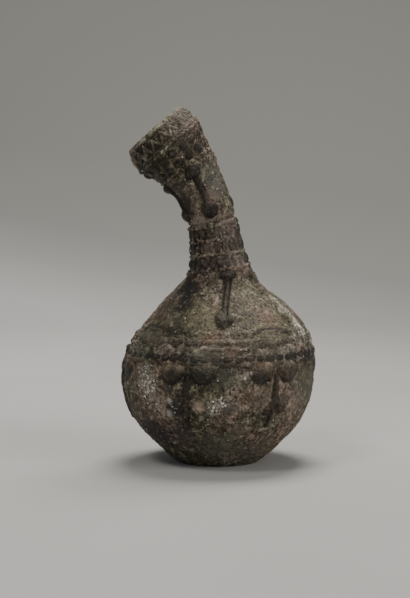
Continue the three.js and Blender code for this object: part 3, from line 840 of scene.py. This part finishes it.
def makeFoot():
    # A flat underside, a round edge, and a plug that goes up into the bowl
    seam, top, gap = walls["footSeam"], walls["plugHeight"], walls["plugGap"]
    rows = [(0.0, 0.0, inset, 1.0) for inset in (28.5, 24.0, 18.0, 10.0, 5.0, 2.0, 0.8, 0.25, 0.0)]
    rows += [(0.4, 0.0, 0.0, 0.9), (1.2, 0.0, 0.0, 0.6), (seam, 0.0, 0.0, walls["footSteady"])]
    rows += [(seam, 0.0, plugInset(seam) + gap, 1.0), (top, 0.0, plugInset(top) + gap, 1.0)]
    rows.append((top, 0.0, along("radius", top), 1.0))
    makeWall("foot_disc", rows, walls["footSides"], ends="poles")


def makeBowl():
    seam, top, calmTo = walls["footSeam"], walls["plugHeight"], walls["steadyTo"]
    rows = []
    for s in rowsBetween(seam, walls["beltFrom"], walls["pace"]):
        rows.append((s, 0.0, 0.0, max(0.0, walls["footSteady"] * (calmTo - s) / (calmTo - seam))))
    rows += insideRows(walls["beltFrom"], top + vessel["thick"])
    rows += [(top, 0.0, plugInset(top), 1.0), (seam, 0.0, plugInset(seam), 1.0)]
    makeWall("lower_bowl", rows, walls["bodySides"])


def makeBelt():
    low, high = walls["beltFrom"], walls["beltTo"]
    rows = []
    for s in rowsBetween(low, high, walls["pace"]):
        proud = walls["beltProud"] * float(rise(min(s - low, high - s), 0.0, walls["beltEdge"]))
        rows.append((s, proud, 0.0, 0.0))
    rows += insideRows(high, low)
    makeWall("belly_belt", rows, walls["bodySides"], dusty=walls["dusty"]["belly_belt"])


def makeStretches():
    pieces = [
        ("shoulder_shell", "beltTo", "throatSeam", "bodySides", "pace"),
        ("neck_sleeve", "throatSeam", "elbowSeam", "neckSides", "neckPace"),
        ("neck_elbow", "elbowSeam", "cupSeam", "neckSides", "neckPace"),
        ("mouth_cup", "cupSeam", "lipSeam", "cupSides", "neckPace"),
    ]
    for node, low, high, sides, pace in pieces:
        rows = outsideRows(walls[low], walls[high], walls[pace]) + insideRows(walls[high], walls[low])
        makeWall(node, rows, walls[sides], dusty=walls["dusty"].get(node, 0.0))


def boreInset(s):
    return along("radius", s) - vessel["bore"]


def makeLip():
    # Up the outside, over the round rim, down the bore, and under the lap inside the cup
    top, seam = vessel["mouthAt"], walls["lipSeam"]
    low, under = seam - walls["lipLap"], wallInset(seam) + walls["lipGap"]
    rows = outsideRows(seam, top - 0.5, walls["lipPace"])
    rows += [(top - 0.12, 0.0, 0.12, 0.5), (top, 0.0, 0.5, 0.6), (top, 0.0, 2.0, 0.6)]
    rows += [(top, 0.0, boreInset(top) - 0.6, 0.6), (top - 0.25, 0.0, boreInset(top - 0.25) - 0.1, 0.6)]
    rows += [(top - 1.0, 0.0, boreInset(top - 1.0), 0.6), (low, 0.0, boreInset(low), 0.6)]
    rows += [(low, 0.0, under, 0.6), (seam, 0.0, under, 0.6)]
    makeWall("mouth_lip", rows, walls["cupSides"], tone=walls["lipTone"])


def makeWalls():
    makeFoot()
    makeBowl()
    makeBelt()
    makeStretches()
    makeLip()


# Rows of pellets and reeds

pelletRows = {  # size: half-width, half-length, height
    "belt_pellets_upper": {
        "at": 89.2, "count": 54, "size": (3.3, 2.4, 1.4), "lift": 0.5, "tone": 0.06, "seed": 11,
    },
    "belt_pellets_lower": {
        "at": 78.7, "count": 54, "size": (3.5, 2.8, 1.9), "lift": 0.5, "tone": -0.26, "seed": 23,
    },
    "collar_reeds_1": {
        "at": 140.6, "count": 24, "size": (2.3, 4.2, 1.9), "lift": 0.0, "tone": -0.14, "seed": 31,
    },
    "collar_reeds_2": {
        "at": 151.1, "count": 24, "size": (2.1, 4.4, 1.9), "lift": 0.0, "tone": -0.12, "seed": 37,
    },
    "collar_reeds_3": {
        "at": 160.9, "count": 24, "size": (2.0, 3.6, 1.8), "lift": 0.0, "tone": -0.10, "seed": 41,
    },
    "cup_pellets_upper": {
        "at": 223.8, "count": 18, "size": (3.4, 3.1, 1.6), "lift": 0.0, "tone": -0.22, "seed": 43,
    },
    "cup_pellets_lower": {
        "at": 216.0, "count": 16, "size": (3.1, 2.7, 1.4), "lift": 0.0, "tone": -0.22, "seed": 47,
    },
}
pellet = {
    "firstTurn": 0.3,  # radians
    "uneven": 0.2,  # how much the sizes in a row differ
    "shift": 0.6,  # how far one strays, in its own half-sizes times the unevenness
    "crust": 0.4,
    "sides": 12,
    "rings": [  # radius and height, of a dome of unit size with a skirt that goes into the wall
        (0.0, 1.0), (0.32, 0.93), (0.58, 0.75), (0.78, 0.48), (0.94, 0.17), (1.12, -0.08), (1.2, -0.6),
        (0.0, -0.6),
    ],
}
worn = {  # where handling has flattened the trim: middle turn, reach, how much is gone
    "belt": (58, 36, 0.75), "collar": (62, 36, 0.5), "cup": (95, 50, 0.65),
}


def wornAt(node):
    return worn[node.split("_")[0]]


def pelletMesh(name, tone):
    rings, sides = pellet["rings"], pellet["sides"]
    places, faces = [(0, 0, rings[0][1])], []
    for radius, height in rings[1:-1]:
        for k in range(sides):
            angle = 2 * math.pi * k / sides
            places.append((radius * math.cos(angle), radius * math.sin(angle), height))
    places.append((0, 0, rings[-1][1]))
    last = len(places) - 1
    for k in range(sides):
        n = (k + 1) % sides
        faces.append((0, 1 + k, 1 + n))
        for i in range(len(rings) - 3):
            low, high = 1 + i * sides, 1 + (i + 1) * sides
            faces.append((low + k, high + k, high + n, low + n))
        base = 1 + (len(rings) - 3) * sides
        faces.append((base + n, base + k, last))
    relief = np.clip([place[2] for place in places], 0, 1)
    return flatMesh(name, places, faces, relief=relief, tone=tone, crust=pellet["crust"])


def makeRows():
    for node, row in pelletRows.items():
        steep = float(np.hypot(1, along("slope", row["at"])))
        wide, long, high = row["size"]
        middle, reach, share = wornAt(node)
        finishPiece(node, pelletMesh(node + "Pellet", row["tone"]), pelletRow, {
            "Count": row["count"], "Place": row["at"] * mm, "First Turn": pellet["firstTurn"],
            "Half Turn": float(wide / along("radius", row["at"])), "Half Length": long / steep * mm,
            "High": high * mm, "Lift": row["lift"] * mm, "Uneven": pellet["uneven"],
            "Shift": pellet["shift"], "Worn Turn": math.radians(middle), "Worn Reach": math.radians(reach),
            "Worn": share, "Seed": row["seed"],
        })


makeRows()
print("rows: made", len(pelletRows), "rows of pellets and reeds")


# Threads: rolled cords laid round the wall

threads = {
    "belt_thread_bottom": {
        "at": 75.3, "half": 1.3, "high": 1.0, "lift": 0.4, "twists": 70, "tone": 0.02, "seed": 3,
    },
    "belt_thread_wavy": {
        "at": 84.9, "half": 1.3, "high": 1.2, "lift": 0.5, "twists": 40, "swing": 0.9, "waves": 26,
        "tone": 0.16, "patchy": 0.24, "seed": 4,
    },
    "collar_thread_1": {
        "at": 135.6, "half": 1.1, "high": 1.4, "lift": 0.0, "twists": 34, "tone": 0.06, "patchy": 0.26,
        "seed": 5,
    },
    "collar_thread_2": {
        "at": 145.8, "half": 1.2, "high": 1.4, "lift": 0.0, "twists": 30, "tone": 0.10, "patchy": 0.26,
        "seed": 6,
    },
    "collar_thread_3": {
        "at": 156.4, "half": 1.2, "high": 1.4, "lift": 0.0, "twists": 30, "tone": 0.08, "patchy": 0.26,
        "seed": 7,
    },
    "collar_thread_4": {
        "at": 166.2, "half": 1.6, "high": 1.6, "lift": 0.0, "twists": 24, "tone": 0.06, "patchy": 0.26,
        "seed": 8,
    },
    "cup_thread": {
        "at": 211.4, "half": 1.0, "high": 1.0, "lift": 0.0, "twists": 30, "tone": 0.14, "seed": 9,
    },
    "cup_ridge": {
        "at": 229.4, "half": 1.0, "high": 1.1, "lift": 0.0, "twists": 0, "tone": 0.12, "patchy": 0.3,
        "seed": 10,
    },
    "cup_zigzag": {
        "at": 236.6, "half": 2.7, "high": 2.3, "lift": -1.0, "twists": 0, "swing": 3.1, "waves": 20,
        "pointed": True, "tone": 0.16, "worn": (55, 44, 0.75), "seed": 12,
    },
}
cord = {
    "steps": 480,
    "section": [  # across and up: a dome from side to side
        (-1.25, -0.15), (-1.0, 0.12), (-0.78, 0.52), (-0.45, 0.88), (0.0, 1.0), (0.45, 0.88), (0.78, 0.52),
        (1.0, 0.12), (1.25, -0.15),
    ],
    "sunk": -1.0,  # mm, the foot of the section under the wall
    "twistDepth": 0.32, "twistSlant": 1.6,
    "patchy": 0.16,  # how much the tone of a cord changes along it, where it doesn't say
    "relief": 0.5, "crust": 0.6,
}


def threadMesh(name, thread):
    chance = np.random.default_rng(thread["seed"])
    turn = np.arange(cord["steps"]) * 2 * math.pi / cord["steps"]

    def bends(low, high, counts):
        return sum(chance.uniform(low, high) * np.sin(k * turn + chance.uniform(0, 6.3)) for k in counts)

    drift = bends(0.1, 0.3, (2, 3, 5, 8, 13, 31, 47))
    swell = bends(0.04, 0.13, (3, 7, 11, 19, 31))
    wave = np.sin(thread.get("waves", 0) * turn)
    if thread.get("pointed"):
        wave = np.arcsin(np.clip(wave, -1, 1)) * 2 / math.pi
    middle = thread["at"] + drift + thread.get("swing", 0.0) * wave
    across, dome = np.array(cord["section"]).T
    across = np.append(across, [across[-1], across[0]])
    steep = float(np.hypot(1, along("slope", thread["at"])))
    q, t = np.meshgrid(across, turn, indexing="xy")
    s = middle[:, None] + q * thread["half"] / steep * (1 + swell[:, None])
    twist = np.ones_like(t)
    if thread["twists"]:
        twist = 1 - cord["twistDepth"] * (0.5 + 0.5 * np.cos(thread["twists"] * t + cord["twistSlant"] * q))
    patchy = sum(np.sin(k * turn + chance.uniform(0, 6.3)) for k in (4, 7, 12, 19, 29, 43)) / 3
    middleTurn, reach, share = thread.get("worn", wornAt(name))
    left = 1 - share * np.exp(-(turnGap(turn, middleTurn) / reach) ** 2)[:, None]
    height = np.append(dome, [0, 0])[None, :] * thread["high"] * (1 + swell[:, None]) * twist * left
    lift = thread["lift"] + height
    lift[:, -2:] = cord["sunk"]
    lift = lift + wallMarks(s, t)
    places = np.stack([t, s * mm, lift * mm], 2).reshape(-1, 3)
    count = len(across)
    index = np.arange(cord["steps"] * count).reshape(cord["steps"], count)
    nextStep = np.roll(index, -1, axis=0)
    faces = []
    for i in range(count):
        j = (i + 1) % count
        faces += np.stack([index[:, i], nextStep[:, i], nextStep[:, j], index[:, j]], 1).tolist()
    relief = np.clip(height / thread["high"], 0, 1) * cord["relief"]
    tone = np.repeat(thread["tone"] + thread.get("patchy", cord["patchy"]) * patchy, count)
    return flatMesh(name, places, faces, relief=relief, tone=tone, crust=cord["crust"])


for threadNode, thread in threads.items():
    finishPiece(threadNode, threadMesh(threadNode + "Flat", thread), castPiece)
print("threads: made", len(threads))


# Motifs laid on the wall: each is a patch of wall raised by domes and rods

patch = {
    "cell": 0.45, "blend": 0.7, "fillet": 0.9, "sink": 0.12, "deep": 1.2,
    "margin": 2.5,  # bare wall taken in round the shapes
    "least": 0.03,  # where the shapes rise less than this, the patch ends
    "roundness": 0.62, "skirt": 1.5,  # of a section: its power, and the slope outside it
    "fadeOver": (-0.35, 0.8),  # how far up a shape it starts to fade and stops, in halves of its height
    "topAt": 1.8,  # height that counts as the top of the relief
}


def smoothMax(a, b, width):
    return np.maximum(a, b) + np.maximum(width - np.abs(a - b), 0) ** 2 / (4 * width)


def flatPlace(s, turn, middle):
    # mm across and along the wall, from the middle (s, turn)
    across = np.radians(turnGap(turn, middle[1])) * along("radius", s)
    return across, along("arc", s) - along("arc", middle[0])


def shapeHeight(shape, u, v, middle):
    u0, v0 = flatPlace(shape["at"][0], math.radians(shape["at"][1]), middle)
    if "to" in shape:
        u1, v1 = flatPlace(shape["to"][0], math.radians(shape["to"][1]), middle)
        length = math.hypot(u1 - u0, v1 - v0)
        t = np.clip(((u - u0) * (u1 - u0) + (v - v0) * (v1 - v0)) / length ** 2, 0, 1)
        q = np.hypot(u - u0 - t * (u1 - u0), v - v0 - t * (v1 - v0)) / shape["half"]
    else:
        q = np.hypot((u - u0) / shape["size"][0], (v - v0) / shape["size"][1])
    high = np.full_like(q, shape["high"])
    if "fade" in shape:
        high = high * (1 - shape["fade"] * rise((v - v0) / shape["size"][1], *patch["fadeOver"]))
    dome = high * np.maximum(1 - q ** 2, 0) ** patch["roundness"]
    return np.where(q < 1, dome, -(q - 1) * high * patch["skirt"])


def shapeReach(shape):
    return max(shape.get("size", (shape.get("half", 0),))) + patch["margin"]


def patchMesh(name, shapes, tone):
    s = np.array([p for shape in shapes for p in (shape["at"][0], shape.get("to", shape["at"])[0])])
    middleTurn = shapes[0]["at"][1]
    middle = (float(np.mean(s)), middleTurn)
    reach = max(shapeReach(shape) for shape in shapes)
    arcs = along("arc", s)
    rowsS = np.interp(np.arange(arcs.min() - reach, arcs.max() + reach, patch["cell"]), line["arc"], lineS)
    offs = []
    for shape in shapes:
        for place in (shape["at"], shape.get("to", shape["at"])):
            wide = math.degrees(shapeReach(shape) / along("radius", place[0]))
            off = (place[1] - middleTurn + 180) % 360 - 180
            offs += [off - wide, off + wide]
    widest = float(along("radius", rowsS).max())
    stepTurn = math.degrees(patch["cell"] / widest)
    turns = np.radians(np.arange(min(offs), max(offs), stepTurn) + middleTurn)
    sGrid, tGrid = np.meshgrid(rowsS, turns, indexing="ij")
    u, v = flatPlace(sGrid, tGrid, middle)
    height = None
    for shape in shapes:
        one = shapeHeight(shape, u, v, middle)
        height = one if height is None else smoothMax(height, one, patch["blend"])
    height = smoothMax(height, np.zeros_like(height), patch["fillet"])
    kept = height > patch["least"]
    cells = kept[:-1, :-1] & kept[1:, :-1] & kept[:-1, 1:] & kept[1:, 1:]
    used = np.zeros_like(kept)
    for a in (slice(None, -1), slice(1, None)):
        for b in (slice(None, -1), slice(1, None)):
            used[a, b] |= cells
    index = np.cumsum(used.ravel()).reshape(used.shape) - 1
    count = int(used.sum())
    lift = height - patch["sink"] + wallMarks(sGrid, tGrid)
    outer = np.stack([tGrid[used], sGrid[used] * mm, lift[used] * mm], 1)
    inner = outer.copy()
    inner[:, 2] = -patch["deep"] * mm
    i, j = np.nonzero(cells)
    corners = np.stack([index[i, j], index[i, j + 1], index[i + 1, j + 1], index[i + 1, j]], 1)
    faces = corners.tolist() + (corners[:, ::-1] + count).tolist()
    edges = {}
    for face in corners.tolist():
        for a, b in zip(face, face[1:] + face[:1]):
            edges[(a, b)] = True
    faces += [(b, a, a + count, b + count) for a, b in edges if (b, a) not in edges]
    relief = np.concatenate([np.clip(height[used] / patch["topAt"], 0, 1), np.zeros(count)])
    # The tone runs from the foot of the patch to its top; on the lobes the dark foot is painted shade
    up = (sGrid[used] - rowsS[0]) / (rowsS[-1] - rowsS[0])
    foot, top, low, high = (tone + (0.0, 1.0))[:4]
    tone = np.tile(foot + (top - foot) * np.clip((up - low) / (high - low), 0, 1), 2)
    return flatMesh(name, np.concatenate([outer, inner]), faces, relief=relief, tone=tone)


pendant = {
    "twists": (12, -1, 7, 10, 3, -3), "cap": 131.0, "foot": 104.0, "knobTurn": 5.0,
    "tones": [  # foot, cap; the second's pale tone is a painted highlight, and the sixth's dark cap is painted shade
        (-0.16, -0.28), (0.10, 0.06), (-0.1, -0.1), (-0.1, -0.1), (-0.1, -0.1), (0.0, -0.26),
    ],
    "left": (1.0, 0.5, 0.9, 0.8, 0.9, 0.42),  # how much of its height wear has left on each
}


def pendantShapes(turn, twist, left):
    foot, cap = pendant["foot"], pendant["cap"]
    bell = turn - pendant["knobTurn"] / 3
    return [
        {"at": (foot, bell), "size": (4.6, 6.8), "high": 2.9 * left},
        {"at": (foot - 1, turn + pendant["knobTurn"] * 0.7), "size": (2.5, 3.0), "high": 2.9 * left},
        {"at": (foot + 2, turn), "to": (cap - 7, turn + twist * 0.75), "half": 2.0, "high": 2.2 * left},
        {"at": (cap - 7, turn + twist * 0.75), "to": (cap, turn + twist), "half": 2.2, "high": 1.0 * left},
        {"at": (cap + 0.6, turn + twist), "size": (5.6, 3.6), "high": 3.0 * left},
    ]


dumbbell = {
    "turns": (3, 122, 200, 281), "tone": (-0.24, -0.30),
    "foot": 178.0, "footSize": (5.4, 6.1), "footHigh": 3.6,
    "top": 205.3, "topSize": (4.9, 4.7), "topHigh": 3.5,
    "rodHalf": 1.8, "rodHigh": 2.0,
}


def dumbbellShapes(turn):
    top, foot = dumbbell["top"], dumbbell["foot"]
    return [
        {"at": (foot, turn), "size": dumbbell["footSize"], "high": dumbbell["footHigh"]},
        {"at": (top, turn), "size": dumbbell["topSize"], "high": dumbbell["topHigh"]},
        {"at": (foot, turn), "to": (top, turn), "half": dumbbell["rodHalf"], "high": dumbbell["rodHigh"]},
    ]


lobes = {
    "turns": (-19, 35, 97, 160, 222, 280), "split": 9.4, "at": 71.5, "size": (8.6, 9.4), "fade": 0.8,
    "high": (3.2, 3.2, 1.7, 3.2, 3.2, 1.7),  # the pairs on the two outlines are worn nearly flat
    "tone": (-0.46, 0.10, 0.1, 0.62),  # foot, top, and the stretch between them; the dark foot is painted shade on the underside of each lobe
}
stem = {"foot": 33, "fork": 50, "top": 67, "prong": (42, 5.5), "tone": (-0.10, -0.16)}


def lobeShapes(turn, high):
    return [{"at": (lobes["at"], turn), "size": lobes["size"], "high": high, "fade": lobes["fade"]}]


def stemShapes(turn):
    fork, (prong, aside) = (stem["fork"], turn), stem["prong"]
    return [
        {"at": (stem["foot"], turn - 2), "to": fork, "half": 1.9, "high": 1.3},
        {"at": fork, "to": (stem["top"], turn + 0.5), "half": 2.0, "high": 1.5},
        {"at": fork, "to": (prong, turn + aside), "half": 1.6, "high": 1.1},
        {"at": fork, "to": (prong, turn - aside), "half": 1.6, "high": 1.1},
    ]


arch = {
    "turns": (-55, 35, 125, 215), "at": 90.5, "size": (14.0, 6.6), "high": 1.7, "fade": 0.4,
    "tone": (0.02, 0.12),
}


def archShapes(turn):
    return [{"at": (arch["at"], turn), "size": arch["size"], "high": arch["high"], "fade": arch["fade"]}]


def makeMotif(node, shapes, tone):
    finishPiece(node, patchMesh(node + "Patch", shapes, tone), castPiece)


def makeMotifs():
    for i, twist in enumerate(pendant["twists"]):
        shapes = pendantShapes(360 * i / len(pendant["twists"]), twist, pendant["left"][i])
        makeMotif(f"shoulder_pendant_{i + 1}", shapes, pendant["tones"][i])
    for i, turn in enumerate(dumbbell["turns"]):
        makeMotif(f"neck_dumbbell_{i + 1}", dumbbellShapes(turn), dumbbell["tone"])
    for i, turn in enumerate(arch["turns"]):
        makeMotif(f"belt_arch_{i + 1}", archShapes(turn), arch["tone"])
    for i, turn in enumerate(lobes["turns"]):
        for side, sign in (("left", -1), ("right", 1)):
            shapes = lobeShapes(turn + sign * lobes["split"], lobes["high"][i])
            makeMotif(f"belly_lobe_{side}_{i + 1}", shapes, lobes["tone"])
        makeMotif(f"belly_stem_{i + 1}", stemShapes(turn), stem["tone"])


makeMotifs()
print("motifs: made pendants, dumbbells, arches, lobes and stems")

makeWalls()  # after all that sits on them, because they look up how near it is
print("walls: made foot, bowl, belt, shoulder, neck, elbow, cup and lip")


# Earth grains, stuck on the walls and on some of the trim, thickly in patches and thinly everywhere

crustedNodes = [
    "lower_bowl", "belly_belt", "shoulder_shell", "neck_sleeve", "neck_elbow", "mouth_cup",
    *(f"collar_reeds_{i}" for i in (1, 2, 3)), *(f"collar_thread_{i}" for i in (1, 2, 3, 4)),
    "belt_pellets_upper", "belt_thread_wavy",
]
earthGrain = {
    "corner": 1.2566,  # radians from one corner to the next, a fifth of a turn
    "squash": (0.75, 0.8),  # breadth and height, to its length
    "raggedNoise": (90.0, 5.0, 0.65), "ragged": (0.42, 0.64),  # the noise that breaks up the patches
    "tint": (700.0, 0.6), "wideTint": (120.0, 4.0, 0.6),  # scale and share; scale, detail and share
    "thickTint": (0.7, 1.25, 0.0, 0.28),  # thick crust is paler: thickness from and to, tint from and to
    "tones": {"umber": 0.25, "drab": 0.5, "clay": 0.68, "dust": 0.85, "chalk": 1.0},
    "roughness": 0.85,
}


def grainMesh():
    mesh = bpy.data.meshes.new("grain")
    places = [(0, 0, 0.8), (0, 0, -0.5)]
    for k in range(5):
        angle = k * earthGrain["corner"]
        places.append((math.cos(angle), math.sin(angle), 0.1 + 0.25 * (k % 2)))
    faces = [(0, 2 + k, 2 + (k + 1) % 5) for k in range(5)]
    faces += [(1, 2 + (k + 1) % 5, 2 + k) for k in range(5)]
    mesh.from_pydata(places, [], faces)
    return addObject("grain", mesh)


def crustTree(oneGrain):
    tree, given, result = newTree("earthGrains", "GeometryNodeTree", [
        ("Geometry", "Geometry"), ("Most", "Float"), ("Smallest", "Float"), ("Largest", "Float"),
        ("Seed", "Int"), ("Finish", "Material"),
    ])
    ragged = spread(tree, noise(tree, position(tree), *earthGrain["raggedNoise"]), *earthGrain["ragged"])
    density = times(tree, times(tree, stored(tree, "crust"), ragged), given["Most"])
    scattered = addNode(tree, "GeometryNodeDistributePointsOnFaces", {
        "Mesh": given["Geometry"], "Density": density, "Seed": given["Seed"],
    }).outputs
    size = addNode(tree, "FunctionNodeRandomValue", {
        2: given["Smallest"], 3: given["Largest"], "Seed": given["Seed"],
    }, data_type="FLOAT").outputs[1]
    broad, tall = [times(tree, size, share) for share in earthGrain["squash"]]
    spun = addNode(tree, "FunctionNodeRandomValue", {
        0: (-0.5, -0.5, 0.0), 1: (0.5, 0.5, 6.28),
    }, data_type="FLOAT_VECTOR").outputs[0]
    turned = addNode(tree, "FunctionNodeRotateRotation", {
        0: scattered["Rotation"], 1: addNode(tree, "FunctionNodeEulerToRotation", {0: spun}).outputs[0],
    }, rotation_space="LOCAL").outputs[0]
    placed = addNode(tree, "GeometryNodeInstanceOnPoints", {
        "Points": scattered["Points"], "Instance": objectShape(tree, oneGrain), "Rotation": turned,
        "Scale": combined(tree, size, broad, tall),
    }).outputs[0]
    feed(tree, result, dressed(tree, realized(tree, placed), given["Finish"]))
    return tree


def earthFinish():
    material, tree, shader, where = newFinish("stuckEarth")
    scale, share = earthGrain["tint"]
    cells = addNode(tree, "ShaderNodeTexVoronoi", {"Vector": where, "Scale": scale}).outputs["Color"]
    wideScale, detail, wideShare = earthGrain["wideTint"]
    wide = times(tree, noise(tree, where, wideScale, detail), wideShare)
    tint = plus(tree, times(tree, firstChannel(tree, cells), share), wide)
    tint = plus(tree, tint, spread(tree, surfaceValue(tree, "crust"), *earthGrain["thickTint"]))
    colour = ramp(tree, tint, [(place, patina[key]) for key, place in earthGrain["tones"].items()])
    feed(tree, shader["Base Color"], colour)
    shader["Roughness"].default_value = earthGrain["roughness"]
    return material


def makeCrust():
    oneGrain = grainMesh()
    tree = crustTree(oneGrain)
    inputs = {
        "Most": float(crust["most"]), "Smallest": crust["size"][0] * mm, "Largest": crust["size"][1] * mm,
        "Seed": crust["seed"], "Finish": earthFinish(),
    }
    total = 0
    for node in crustedNodes:
        wall = bpy.data.objects[node + "_cast"].data.copy()
        piece = addObject(node + "_earth", grown(node + "Earth", wall, tree, inputs))
        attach(piece, "root")
        total += len(piece.data.polygons)
    bpy.data.objects.remove(oneGrain)
    print("earth: faces in the grains", total)


makeCrust()
bpy.data.objects.remove(vesselLine)
bpy.data.collections.remove(reliefParts)


# Studio. Its places are in metres.

camera = {
    "aim": (-9.1, 0.0, 113.7),
    "distance": 1300.0,
    "elevation": 5.2,
    "frameHeight": 418.6,  # how much the picture spans, top to bottom, at the vessel
    "sensor": 24.0,
}
sweep = {  # the floor, and the curve that takes it up behind the vessel
    "front": -2.0, "from": 0.85, "radius": 0.9, "steps": 20, "top": 2.6, "half": 2.5,
    "tones": [
        (0.0, (0.455, 0.442, 0.43, 1.0)), (0.07, (0.335, 0.33, 0.311, 1.0)),
        (0.14, (0.268, 0.264, 0.246, 1.0)), (0.3, (0.25, 0.248, 0.228, 1.0)),
        (0.8, (0.275, 0.272, 0.25, 1.0)),
    ],
    "toneRise": 1.6, "toneAside": (0.0, 0.9, 0.0, 0.25),  # painted shade: how the paper darkens upwards, and to one side further back
    "cloudScale": 3.0, "cloud": 0.06, "roughness": 0.9,
}
lights = {  # place, size across, watts, colour
    "overheadBehind": ((0.10, 0.45, 1.45), 0.7, 24.0, (1.0, 0.98, 0.93)),
    "overheadFront": ((-0.60, -0.60, 1.35), 0.4, 6.0, (1.0, 0.98, 0.93)),
    "windowRight": ((1.3, -1.0, 0.85), 1.2, 13.0, (1.0, 0.98, 0.94)),
}
lightsAim = (0, 0, 0.12)
room = {"colour": (0.80, 0.84, 0.90, 1.0), "strength": 0.34}


def paperFinish():
    material, tree, shader, where = newFinish("backdropPaper")
    x, y, z = apart(tree, where)
    # Painted shade: the paper darkens upwards, and towards +x at the back
    sideways = times(tree, x, spread(tree, y, *sweep["toneAside"]))
    shade = plus(tree, times(tree, z, sweep["toneRise"]), sideways)
    shade = plus(tree, shade, times(tree, noise(tree, where, sweep["cloudScale"]), sweep["cloud"]))
    feed(tree, shader["Base Color"], ramp(tree, shade, sweep["tones"]))
    shader["Roughness"].default_value = sweep["roughness"]
    return material


def studio():
    start, radius = sweep["from"], sweep["radius"]
    profile = [(sweep["front"], 0.0), (start, 0.0)]
    for step in range(1, sweep["steps"] + 1):
        angle = math.radians(90 * step / sweep["steps"])
        profile.append((start + radius * math.sin(angle), radius * (1 - math.cos(angle))))
    profile.append((start + radius, sweep["top"]))
    places = [(x, y, z) for y, z in profile for x in (-sweep["half"], sweep["half"])]
    faces = [(i, i + 1, i + 3, i + 2) for i in range(0, len(places) - 2, 2)]
    mesh = bpy.data.meshes.new("backdrop")
    mesh.from_pydata(places, [], faces)
    mesh.materials.append(paperFinish())
    mesh.shade_smooth()
    backdrop = addObject("backdrop", mesh)


def softLight(name, place, size, power, colour):
    data = bpy.data.lights.new(name, "AREA")
    data.shape = "DISK"
    data.size = size
    data.energy = power
    data.color = colour
    lamp = addObject(name, data)
    lamp.location = place
    lamp.rotation_euler = (Vector(lightsAim) - Vector(place)).to_track_quat("-Z", "Y").to_euler()


def photographer():
    data = bpy.data.cameras.new("camera")
    data.sensor_fit = "VERTICAL"
    data.sensor_height = camera["sensor"]
    data.lens = camera["sensor"] * camera["distance"] / camera["frameHeight"]
    eye = addObject("camera", data)
    tilt = math.radians(camera["elevation"])
    away = Vector((0, -math.cos(tilt), math.sin(tilt))) * camera["distance"] * mm
    eye.location = Vector(camera["aim"]) * mm + away
    eye.rotation_euler = (-away).to_track_quat("-Z", "Y").to_euler()
    bpy.context.scene.camera = eye


def roomLight():
    world = bpy.data.worlds.new("roomLight")
    world.use_nodes = True
    background = world.node_tree.nodes["Background"].inputs
    background["Color"].default_value = room["colour"]
    background["Strength"].default_value = room["strength"]
    bpy.context.scene.world = world


studio()
for lightName, light in lights.items():
    softLight(lightName, *light)
photographer()
roomLight()
print("studio: floor, lights and camera placed")
